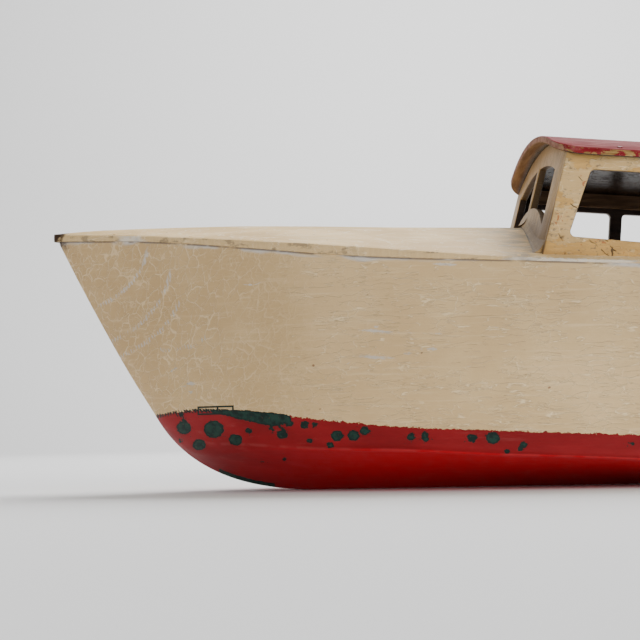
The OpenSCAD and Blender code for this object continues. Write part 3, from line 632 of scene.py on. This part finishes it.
def deck_finish():
    """Paler cream, rubbed along the grain, darker by the cabin, its edge chipped."""
    f = Finish("deck_paint", sheen=0.08)
    p = f.place()
    colour, cracks = cream_paint(f, p, DECK_CREAM, DECK_WORN, (0.90, 0.76, 0.54))[:2]
    streaks = f.noise(f.scaled(p, (0.05, 0.6, 0.6)), 2.2, 5, 0.65)
    colour = f.mix(f.both(f.step(streaks, 0.56, 0.74), 0.45), colour, DECK_WORN)
    bare = f.both(f.step(streaks, 0.68, 0.72), f.step(f.noise(p, 21, 2), 0.50, 0.60))
    colour = f.mix(f.both(bare, 0.65), colour, DIRT)
    side = f.step(f.part_of(f.normal(), 2), 0.75, 0.35)
    ridges = f.noise(f.scaled(p, (1, 1, 0.15)), 1.1, 3, 0.6)
    edge = f.mix(f.both(f.step(ridges, 0.62, 0.42), 0.5), CREAM, CREAM_DEEP)
    # Painted highlight: the crack lines on the deck's edge are paler.
    edge = f.mix(f.both(cracks, 0.6), edge, CREAM_PALE)
    colour = f.mix(side, colour, edge)
    near_edge = f.measure("edge_gap")
    ragged = f.math("SUBTRACT", f.noise(p, 2.2, 4, 0.65), 0.5)
    chip = f.step(f.math("ADD", near_edge, f.both(ragged, 5.0)), 0.8, 0.2)
    chip = f.both(chip, f.step(f.noise(f.scaled(p, (0.4, 1, 1)), 4, 3), 0.56, 0.64))
    colour = f.mix(f.both(chip, 0.55), colour, DIRT)
    pale_chip = f.both(f.step(f.math("ADD", near_edge, f.both(ragged, 6.0)), 1.2, 0.4),
                       f.step(f.noise(f.scaled(p, (0.3, 1, 1)), 14, 2), 0.44, 0.36))
    colour = f.mix(f.both(pale_chip, 0.6), colour, (0.80, 0.78, 0.72))
    # Darker on the deck close to the cabin's front, in blotches.
    screen_darkening_reach = f.math("SUBTRACT", f.measure("screen_gap"), f.both(f.noise(p, 12, 4), 30.0))
    screen_darkening = f.both(f.step(screen_darkening_reach, 8, -12), f.step(f.noise(f.scaled(p, (0.5, 1, 1)), 5, 4), 0.30, 0.62))
    colour = f.mix(f.both(screen_darkening, 0.75), colour, (0.30, 0.24, 0.18))
    tip = f.step(f.math("ADD", f.measure("tip_gap"), f.both(ragged, 9.0)), 8.0, 4.5)
    colour = f.mix(tip, colour, BARE_DARK)
    bump = f.bump([(streaks, 0.10), (cracks, 0.12), (f.both(ridges, side), 0.14), (chip, -0.12)])
    return f.done(colour, 0.55, bump)


def cabin_finish():
    """Cream chipped to old varnish outside; dark brown within, darkened further as painted shade."""
    f = Finish("cabin_paint")
    p = f.place()
    colour, cracks, brushed = cream_paint(f, p, (0.66, 0.44, 0.19), (0.50, 0.31, 0.115), (0.84, 0.64, 0.36))
    face_x = f.part_of(f.normal(), 0)
    face_y = f.math("ABSOLUTE", f.part_of(f.normal(), 1))
    height = f.part_of(p, 2)
    flank = f.both(f.step(face_y, 0.6, 0.8), f.step(f.math("ABSOLUTE", f.part_of(p, 1)), 65.9, 66.3))
    patches = f.math("ADD", f.noise(f.scaled(p, (0.6, 1, 1)), 11, 4, 0.6),
                     f.both(f.step(height, 112, 106), 0.10))
    bare = f.both(f.step(patches, 0.52, 0.55), flank)
    wood = f.mix(f.step(f.noise(f.scaled(p, (0.15, 1, 1)), 2.4, 4), 0.35, 0.7), (0.52, 0.29, 0.08), BARE_TAN)
    colour = f.mix(f.both(bare, 0.8), colour, wood)
    pitted = f.both(f.step(f.noise(f.scaled(p, (0.6, 1, 1)), 1.4, 4, 0.7), 0.57, 0.63),
                    f.step(f.noise(p, 9, 2), 0.42, 0.52))
    colour = f.mix(f.both(f.both(pitted, flank), 0.7), colour, DIRT)
    split = f.step(f.cells(f.scaled(f.turned(f.wander(p, 5, 4.0), 35), (1, 1, 0.35)), 9), 0.030, 0.012)
    split = f.both(f.both(split, flank), f.step(f.noise(p, 10, 2), 0.50, 0.56))
    colour = f.mix(f.both(split, 0.85), colour, BARE_DARK)
    scratch = f.step(f.noise(f.scaled(f.wander(p, 8, 6.0), (0.5, 1, 0.4)), 3.2, 4, 0.7), 0.63, 0.66)
    colour = f.mix(f.both(f.both(scratch, flank), 0.8), colour, RUST_STAIN)
    worn = f.both(f.edges(1.3), f.step(f.noise(p, 2.6, 4), 0.36, 0.48))
    colour = f.mix(f.both(worn, 0.85), colour, (0.11, 0.07, 0.035))
    shadow = f.both(f.noise(f.scaled(p, (0.3, 1, 1)), 9, 4), 10.0)
    under_roof = f.step(f.math("ADD", height, shadow), 148, 155)
    colour = f.mix(f.both(f.both(under_roof, flank), 0.6), colour, (0.22, 0.14, 0.055))
    ahead = f.step(f.part_of(p, 0), -50, -60)
    front = f.both(f.step(face_x, -0.5, -0.8), ahead)
    grain = f.noise(f.scaled(p, (1, 1, 0.12)), 1.6, 4, 0.65)
    colour = f.mix(f.both(front, 0.8), colour, (0.50, 0.33, 0.15))
    colour = f.mix(f.both(f.both(front, f.step(grain, 0.40, 0.66)), 0.6), colour, (0.24, 0.14, 0.05))
    # Darker low on the forward-facing faces, towards the deck.
    leaning = f.both(f.step(face_x, -0.05, -0.3), ahead)
    front_foot_darkening = f.math("ADD", f.noise(f.scaled(p, (1, 1, 0.35)), 4, 5, 0.7), f.step(height, 140, 116))
    colour = f.mix(f.both(f.both(leaning, f.step(front_foot_darkening, 1.0, 1.6)), 0.85), colour, (0.17, 0.105, 0.05))
    side_reveal = f.both(f.step(f.math("ABSOLUTE", f.part_of(p, 1)), 63.4, 63.9), f.step(face_y, 0.5, 0.3))
    side_reveal = f.both(side_reveal, f.step(f.part_of(p, 0), -64, -62))
    front_reveal = f.both(ahead, f.step(f.math("ABSOLUTE", face_x), 0.6, 0.4))
    front_reveal = f.both(front_reveal, f.step(height, 112, 116))
    front_reveal = f.both(front_reveal, f.step(f.math("ABSOLUTE", f.part_of(p, 1)), 63.9, 63.4))
    reveal = f.either(side_reveal, front_reveal)
    inner_side = f.step(f.both(f.part_of(f.normal(), 1), f.part_of(p, 1)), -20, -35)
    fore = f.step(f.part_of(p, 0), 0, -10)
    inner_end = f.either(f.both(f.step(face_x, 0.4, 0.7), fore),
                         f.both(f.step(face_x, -0.4, -0.7), f.math("SUBTRACT", 1.0, fore)))
    inside = f.either(inner_side, inner_end)
    # Inner faces and window reveals go near black: dark wood, darkened further as painted shade.
    brown = f.mix(f.step(f.noise(f.scaled(p, (0.2, 1, 1)), 4, 4), 0.3, 0.7), (0.02, 0.011, 0.007), BARE_DARK)
    colour = f.mix(f.both(reveal, 0.9), colour, (0.055, 0.032, 0.016))
    colour = f.mix(inside, colour, brown)
    bump = f.bump([(brushed, 0.08), (cracks, 0.12), (bare, -0.14), (split, -0.3), (grain, 0.05)])
    return f.done(colour, 0.48, bump)


def roof_finish():
    """Faded red with worn edges above, dark and glossy below."""
    f = Finish("roof_paint")
    p = f.place()
    face_z = f.part_of(f.normal(), 2)
    streaks = f.noise(f.scaled(p, (0.12, 1, 1)), 2.4, 5, 0.6)
    cloud = f.noise(p, 24, 4)
    top = f.mix(f.step(cloud, 0.35, 0.7), ROOF_RED, (0.25, 0.022, 0.026))
    top = f.mix(f.both(f.step(streaks, 0.40, 0.72), 0.6), top, ROOF_FADED)
    scuffed = f.both(f.step(f.noise(p, 1.2, 4, 0.7), 0.58, 0.70), f.step(cloud, 0.42, 0.60))
    top = f.mix(f.both(scuffed, 0.5), top, (0.52, 0.30, 0.27))
    ragged = f.noise(f.scaled(p, (0.5, 1, 1)), 3.2, 4, 0.65)
    bright = f.both(f.edges(2.4), f.step(ragged, 0.40, 0.46))
    top = f.mix(bright, top, (0.30, 0.003, 0.008))
    rim = f.step(face_z, 0.55, 0.35)
    bare = f.both(f.either(rim, f.step(f.edges(1.2), 0.4, 0.8)), f.step(ragged, 0.46, 0.50))
    grain = f.noise(f.scaled(p, (0.12, 1, 1)), 1.2, 4, 0.7)
    top = f.mix(bare, top, f.mix(f.step(grain, 0.4, 0.6), (0.22, 0.12, 0.04), OCHRE))
    pale = f.both(f.edges(1.8), f.step(f.noise(p, 1.9, 4, 0.7), 0.58, 0.62))
    top = f.mix(pale, top, CHIP_WHITE)
    front = f.step(f.part_of(f.normal(), 0), -0.55, -0.9)
    face = f.mix(f.step(f.noise(p, 5, 5, 0.7), 0.38, 0.62), (0.22, 0.10, 0.07), (0.38, 0.22, 0.17))
    face = f.mix(f.step(f.noise(p, 3, 4, 0.7), 0.60, 0.64), face, (0.08, 0.05, 0.04))
    top = f.mix(f.both(front, 0.95), top, face)
    below = f.step(face_z, -0.25, -0.5)
    wood = f.mix(f.step(f.noise(f.scaled(p, (1, 0.1, 1)), 3, 4), 0.3, 0.7), (0.15, 0.08, 0.035),
                 (0.29, 0.17, 0.08))
    brown = f.mix(f.step(f.noise(f.scaled(p, (0.1, 1, 1)), 3, 4), 0.3, 0.7), (0.022, 0.013, 0.009),
                  (0.05, 0.032, 0.024))
    overhang = f.step(f.part_of(p, 0), -66, -69)
    colour = f.mix(below, top, f.mix(overhang, brown, wood))
    varnished = f.both(below, f.math("SUBTRACT", 1.0, overhang))
    rough = f.math("SUBTRACT", 0.72, f.both(varnished, 0.45))
    f.feed(f.shader.inputs["Specular IOR Level"], f.math("ADD", 0.08, f.both(varnished, 0.35)))
    return f.done(colour, rough, f.bump([(streaks, 0.10), (bare, -0.14), (ragged, 0.06)]))


def pin_finish():
    """Pin heads painted over with the deck or the roof, with rust coming through."""
    f = Finish("pin_steel", sheen=0.05)
    p = f.place()
    rust = f.step(f.noise(p, 2.4, 4, 0.7), 0.54, 0.62)
    cover = f.mix(f.step(f.part_of(p, 2), 128, 130), DECK_CREAM, ROOF_RED)
    colour = f.mix(f.both(rust, 0.5), cover, (0.20, 0.09, 0.035))
    return f.done(colour, 0.5, f.bump([(f.noise(p, 0.8, 3), 0.05)]))


def wood_finish(name, light, dark):
    """Planed wood with its grain along the boat."""
    f = Finish(name)
    p = f.place()
    rings = f.noise(f.scaled(f.wander(p, 30, 4.0), (0.04, 0.5, 0.5)), 2.2, 5, 0.6)
    pores = f.noise(f.scaled(p, (0.12, 1, 1)), 0.8, 3, 0.7)
    colour = f.mix(f.step(rings, 0.35, 0.65), dark, light)
    colour = f.mix(f.both(f.step(pores, 0.60, 0.75), 0.5), colour, dark)
    stain = f.step(f.noise(p, 30, 4), 0.45, 0.75)
    colour = f.mix(f.both(stain, 0.4), colour, tuple(0.5 * c for c in dark))
    return f.done(colour, 0.6, f.bump([(rings, 0.08), (pores, 0.05)]))


def coaming_finish():
    f = Finish("coaming_wood", coat=0.08)
    p = f.place()
    colour, cracks, brushed = cream_paint(f, p, CREAM, CREAM_DEEP, CREAM_PALE)
    worn = f.both(f.edges(1.2), f.step(f.noise(p, 5, 4), 0.40, 0.54))
    colour = f.mix(f.both(worn, 0.85), colour, BARE_TAN)
    return f.done(colour, 0.5, f.bump([(brushed, 0.08), (cracks, 0.12)]))


def metal_finish(name, clean, tarnish, rough):
    """Metal with tarnish in clouds and fine scratches."""
    f = Finish(name, metallic=1.0)
    p = f.place()
    cloud = f.noise(p, 6.0, 4, 0.6)
    scratch = f.noise(f.scaled(p, (0.2, 1, 1)), 0.5, 3, 0.7)
    colour = f.mix(f.step(cloud, 0.38, 0.64), clean, tarnish)
    shine = f.math("ADD", rough, f.both(f.step(cloud, 0.35, 0.7), 0.25))
    return f.done(colour, shine, f.bump([(scratch, 0.02), (cloud, 0.04)]))


def moulded_finish(name, colour, rubbed):
    """Moulded or paper-sleeved surface with rubbed edges and a fine texture."""
    f = Finish(name)
    p = f.place()
    worn = f.both(f.edges(0.8), f.step(f.noise(p, 2, 3), 0.42, 0.6))
    shade = f.mix(f.step(f.noise(p, 9, 3), 0.35, 0.7), colour, tuple(c * 1.35 for c in colour))
    return f.done(f.mix(worn, shade, rubbed), 0.45, f.bump([(f.noise(p, 0.5, 2), 0.02)]))


BARE_WOOD = wood_finish("inner_wood", (0.26, 0.155, 0.08), (0.10, 0.055, 0.028))
HULL_PAINT = hull_finish()
FINISHES = {
    "hull_paint": HULL_PAINT,
    "bottom_paint": red_finish(),
    "deck_paint": deck_finish(),
    "cabin_paint": cabin_finish(),
    "roof_paint": roof_finish(),
    "inner_wood": BARE_WOOD,
    "coaming_wood": coaming_finish(),
    "pin_steel": pin_finish(),
    "motor_steel": metal_finish("motor_steel", (0.42, 0.43, 0.44), (0.24, 0.22, 0.20), 0.32),
    "shaft_steel": metal_finish("shaft_steel", (0.60, 0.60, 0.60), (0.36, 0.33, 0.30), 0.24),
    "brass": metal_finish("brass", (0.70, 0.50, 0.22), (0.34, 0.23, 0.10), 0.28),
    "tin": metal_finish("tin", (0.58, 0.58, 0.56), (0.34, 0.31, 0.27), 0.35),
    "cell_wrap": moulded_finish("cell_wrap", (0.030, 0.045, 0.10), (0.30, 0.30, 0.32)),
    "switch_block": moulded_finish("switch_block", (0.020, 0.018, 0.018), (0.10, 0.09, 0.08)),
}


# ---- lengths kept on the meshes, for the paint ---------------------------------------------

# Green patches in the port side's red paint, as (from the bow, height, radius). These places, and
# the points of the arcs and flakes below, are another script's output.
PATCHES = [(61, 30, 3.1), (75, 29, 4.0), (85, 24, 2.7), (68, 22, 2.7), (91, 28, 1.4), (106, 26, 2.0),
           (109, 31, 1.8), (116, 30, 1.8), (120, 30, 1.4), (118, 23, 1.1), (127, 21, 1.4), (130, 25, 2.5),
           (137, 25, 2.5), (142, 27, 2.0), (162, 24, 1.8), (168, 26, 1.4), (168, 23, 1.4), (188, 23, 2.0),
           (197, 23, 2.7), (203, 17, 1.1), (209, 18, 1.1), (257, 19, 1.1), (97, 14, 0.7), (107, 15, 0.9),
           (59, 24, 1.1)]
# Flakes of the undercoat that show through the port topsides, as start, bend and end of each.
FLAKES = [((98, 108), (115, 105), (134, 102)), ((137, 61), (151, 56), (166, 62)),
          ((138, 72), (157, 68), (175, 68)), ((168, 61), (174, 63), (179, 63)),
          ((171, 100), (176, 98), (182, 98))]
# Growth rings that stand through the paint of the bow, as start, bend and end of each arc.
RINGS = [((46, 112), (42, 95), (22, 88)), ((57, 102), (50, 78), (26, 71)), ((60, 87), (54, 72), (31, 64)),
         ((72, 71), (67, 65), (51, 66))]
# The thick green band under the waterline, as (from the bow, its depth).
BAND = [(48, 1.5), (60, 1.2), (75, 1.4), (84, 3.0), (95, 4.8), (104, 5.2), (109, 1.5), (116, 0.0), (600, 0.0)]


def scattered_patches(seed, start, end, count):
    """Small green patches along the bottom's upper edge, at random places."""
    pick = random.Random(seed)
    patches = []
    for _ in range(count):
        s = pick.uniform(start, end)
        top = fair(WATERLINE, s)
        low = max(chine_z(s), 8.0)
        patches.append((s, pick.uniform(low + 2, top - 2), pick.uniform(0.5, 2.0)))
    return patches


PORT_PATCHES = PATCHES + scattered_patches(3, 58, 240, 5) + scattered_patches(5, 265, 585, 20)
STARBOARD_PATCHES = scattered_patches(7, 55, 190, 22) + scattered_patches(9, 190, 585, 20)
RING_POINTS = [(bezier(np.array(a), np.array(b), np.array(c), t), width)
               for arcs, width in ((RINGS, 1.0), (FLAKES, 0.7)) for a, b, c in arcs
               for t in np.linspace(0, 1, 40)]


def keep(piece, name, values):
    """Stores one length for each point of the piece's mesh."""
    layer = piece.data.attributes.new(name, "FLOAT", "POINT")
    layer.data.foreach_set("value", np.asarray(values, np.float32))


def places(piece):
    """The mesh's points as arrays of distance from the bow, y and z."""
    co = np.zeros(len(piece.data.vertices) * 3)
    piece.data.vertices.foreach_get("co", co)
    co = co.reshape(-1, 3) / MM
    return co[:, 0] + HULL_L / 2, co[:, 1], co[:, 2]


def along(line, s):
    """A line read at many places at once."""
    table = np.arange(0, HULL_L + 1.0)
    return np.interp(s, table, [fair(line, t) for t in table])


def mark_hull(piece):
    s, y, z = places(piece)
    above = z - along(WATERLINE, s)
    keep(piece, "above_line", above)
    keep(piece, "seam_gap", along(SHEER_HEIGHT, s) - z)
    keep(piece, "tip_gap", np.sqrt(s**2 + y**2 + (z - STEM_TOP) ** 2))
    keep(piece, "stem_gap", np.where(s < 90, np.abs(y) - 1.2, FAR))
    keep(piece, "chine_gap", np.abs(z - np.array([chine_z(v) for v in s])) + np.where(s < 70, 20, 0))
    green = np.full(len(s), FAR)
    for side, patches in ((-1, PORT_PATCHES), (1, STARBOARD_PATCHES)):
        here = np.sign(y) == side
        for at, height, r in patches:
            gap = np.hypot((s - at) * 0.85, z - height) - r
            green = np.where(here, np.minimum(green, gap), green)
    band = along(BAND, s)
    in_band = np.maximum(above - 0.6, -above - band)
    green = np.minimum(green, np.where(band > 0.2, in_band, FAR))
    forefoot = np.hypot(y * 0.5, z - np.array([keel_z(v) for v in s]) - 0.5) - 3.2
    green = np.minimum(green, np.where((s > 76) & (s < 104), forefoot, FAR))
    keep(piece, "green_gap", green)
    arc = np.full(len(s), FAR)
    for (at, height), width in RING_POINTS:
        arc = np.minimum(arc, np.hypot(s - at, z - height) - width)
    keep(piece, "ring_gap", np.where((y < 0) | (s < 70), arc, FAR))


def mark_deck(piece):
    s, y, z = places(piece)
    screen = SCREEN_S - math.tan(SCREEN_RAKE) * (SCREEN_Z - z)
    keep(piece, "edge_gap", along(SHEER_HALF, s) - np.abs(y))
    keep(piece, "screen_gap", np.where(s < screen, screen - s, FAR))
    keep(piece, "tip_gap", np.sqrt(s**2 + y**2 + (z - STEM_TOP) ** 2))


def unevenness(piece, amount, size):
    """Pushes the points along their normals by smooth noise, as hand tools leave a surface."""
    mesh = piece.data
    normals = [v.normal.copy() for v in mesh.vertices]
    for v, n in zip(mesh.vertices, normals):
        v.co += n * noise.noise(v.co / (size * MM)) * amount * MM


# ---- the hull and the decks ----------------------------------------------------------------


def ring(s, section):
    return [point(s, y, z) for y, z in section]


def make_hull():
    end = HULL_L - TRANSOM_T
    stations = steps(3, 265, 1.3) + steps(265, RUN_START, 2.6)[1:] + steps(RUN_START, end, 2.6)[1:]
    hull = loft("hull_carved", [ring(s, mirrored(hull_half(s))) for s in stations])
    unevenness(hull, 0.22, 34)
    put_material(hull, HULL_PAINT)
    inner = steps(80, end, 8) + [end + 3]
    hollow = loft("hollow", [ring(s, mirrored(hollow_half(min(s, end)))) for s in inner])
    put_material(hollow, BARE_WOOD)
    cut(hull, hollow)
    mark_hull(hull)
    smooth(hull, SHARP)
    stand_for(hull, "hull_body")


def make_transom():
    """The stern board, whose top edge follows the underside of the deck's ridge."""
    stations = [HULL_L - TRANSOM_T, HULL_L - TRANSOM_T + 1.5, HULL_L - 1.2, HULL_L - 0.4, HULL_L]
    ease = [0, 0, 0, 0.25, 0.8]
    rings = []
    for s, inset in zip(stations, ease):
        section = [(max(y - inset, 0.1), z + (inset if z < 60 else 0)) for y, z in hull_half(s)]
        sheer_y, sheer_z = section[0]
        crest = [(y, max(sheer_z, deck_z(s, y) - DECK_T - BOARD_GAP))
                 for y in np.linspace(sheer_y, -sheer_y, 33)[1:-1]]
        rings.append(ring(s, mirrored(section) + crest))
    board = loft("transom_board", rings)
    put_material(board, HULL_PAINT)
    mark_hull(board)
    smooth(board, SHARP)
    stand_for(board, "transom")


def make_foredeck():
    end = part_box("deck")[1].x / MM + HULL_L / 2
    deck = loft("foredeck_board", [ring(s, mirrored(deck_half(s))) for s in [0.2] + steps(1, end, 1.8)])
    put_material(deck, FINISHES["deck_paint"])
    half = CABIN_W / 2
    rings = []
    for y in np.linspace(-half, half, 41):
        bow = SCREEN_BOW * (y / half) ** 2
        front = [point(SCREEN_S + bow - math.tan(SCREEN_RAKE) * (SCREEN_Z - z), y, z)
                 for z in (CUT_LOW, CUT_HIGH)]
        back = [point(end + 5, y, z) for z in (CUT_HIGH, CUT_LOW)]
        rings.append(front + back)
    opening = loft("opening", rings)
    put_material(opening, BARE_WOOD)
    cut(deck, opening)
    mark_deck(deck)
    smooth(deck, SHARP)
    stand_for(deck, "deck")


def make_aft_deck():
    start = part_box("aft_deck")[0].x / MM + HULL_L / 2
    well_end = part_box("coaming_aft")[1].x / MM + HULL_L / 2
    well_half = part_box("coaming_port")[0].y / MM
    deck = loft("aft_deck_board", [ring(s, mirrored(deck_half(s))) for s in steps(start, HULL_L, 1.8)])
    put_material(deck, FINISHES["deck_paint"])
    corners = [(-well_half, CUT_LOW), (well_half, CUT_LOW), (well_half, CUT_HIGH), (-well_half, CUT_HIGH)]
    rings = [ring(s, corners) for s in (start - 2, well_end)]
    well = loft("well", rings)
    put_material(well, BARE_WOOD)
    cut(deck, well)
    mark_deck(deck)
    smooth(deck, SHARP)
    stand_for(deck, "aft_deck")


make_hull()
make_transom()
make_foredeck()
make_aft_deck()

# ---- the other wooden pieces ---------------------------------------------------------------

EASED = {
    "cabin_front": 0.5, "cabin_side_port": 0.5, "cabin_side_starboard": 0.5, "cabin_back": 0.5,
    "cabin_roof": 0.8, "skeg": 0.8, "coaming_port": 0.6, "coaming_starboard": 0.6, "coaming_aft": 0.6,
    "seat_board": 0.7, "seat_front": 0.4, "floor_hatch": 0.5, "cockpit_floor": 0.3, "tiller": 0.3,
    "motor_bed": 0.4, "switch_base": 0.4, "propeller": 0.2, "rudder_blade": 0.3,
}
for node_name, width in EASED.items():
    put_material(eased(node_name, width), FINISHES[SLOT_OF[node_name]])

for node_name, node in frame["nodes"].items():
    for holder in node.material_slots:
        holder.material = FINISHES[SLOT_OF[node_name]]

# ---- floor, lights and camera --------------------------------------------------------------


def make_sweep():
    """A pale floor that turns up into a backdrop far behind the boat."""
    near, bend, radius, top, half = -8.0, 2.6, 1.6, 7.0, 9.0
    profile = [(near, 0.0), (bend, 0.0)]
    for a in (math.radians(degrees) for degrees in range(5, 91, 5)):
        profile.append((bend + radius * math.sin(a), radius - radius * math.cos(a)))
    profile.append((bend + radius, top))
    verts = [(x, y, z) for y, z in profile for x in (-half, half)]
    faces = [(2 * i, 2 * i + 1, 2 * i + 3, 2 * i + 2) for i in range(len(profile) - 1)]
    mesh = bpy.data.meshes.new("sweep")
    mesh.from_pydata(verts, [], faces)
    sweep = new_object("sweep", mesh)
    sweep.data.shade_smooth()
    f = Finish("sweep_card")
    put_material(sweep, f.done((0.80, 0.80, 0.80), 0.85))


def area_light(name, at, aim, size, power, spread=180):
    light = bpy.data.lights.new(name, "AREA")
    light.size = size
    light.energy = power
    light.spread = math.radians(spread)
    lamp = bpy.data.objects.new(name, light)
    bpy.context.scene.collection.objects.link(lamp)
    lamp.location = at
    lamp.rotation_euler = (Vector(aim) - Vector(at)).to_track_quat("-Z", "Y").to_euler()


def make_camera():
    """Low on the port side of the bow, a little turned aft and tilted up."""
    yaw, pitch, roll = (math.radians(a) for a in (2.52, 3.97, -1.0))
    look = Vector((math.sin(yaw) * math.cos(pitch), math.cos(yaw) * math.cos(pitch), math.sin(pitch)))
    level = Vector((math.cos(yaw), -math.sin(yaw), 0))
    over = level.cross(look)
    right = math.cos(roll) * level + math.sin(roll) * over
    up = math.cos(roll) * over - math.sin(roll) * level
    camera = bpy.data.objects.new("camera", bpy.data.cameras.new("camera"))
    bpy.context.scene.collection.objects.link(camera)
    turn = Matrix((right, up, -look)).transposed().to_4x4()
    camera.matrix_world = Matrix.Translation((-0.2094, -0.797, 0.0248)) @ turn
    camera.data.lens = 94.5
    camera.data.sensor_width = 36.0
    bpy.context.scene.camera = camera


make_sweep()
make_camera()
area_light("key", (0.8, 1.1, 1.8), (0, 0, 0.05), 2.0, 96)
area_light("fill", (2.1, -2.2, 0.5), (0, 0, 0.1), 2.2, 70)
area_light("back", (0.9, -0.4, 3.0), (0.5, 4.2, 1.1), 1.5, 58, 72)
world = bpy.data.worlds.new("studio")
world.use_nodes = True
world.node_tree.nodes["Background"].inputs["Color"].default_value = (1.0, 1.0, 1.0, 1.0)
world.node_tree.nodes["Background"].inputs["Strength"].default_value = 0.55
bpy.context.scene.world = world
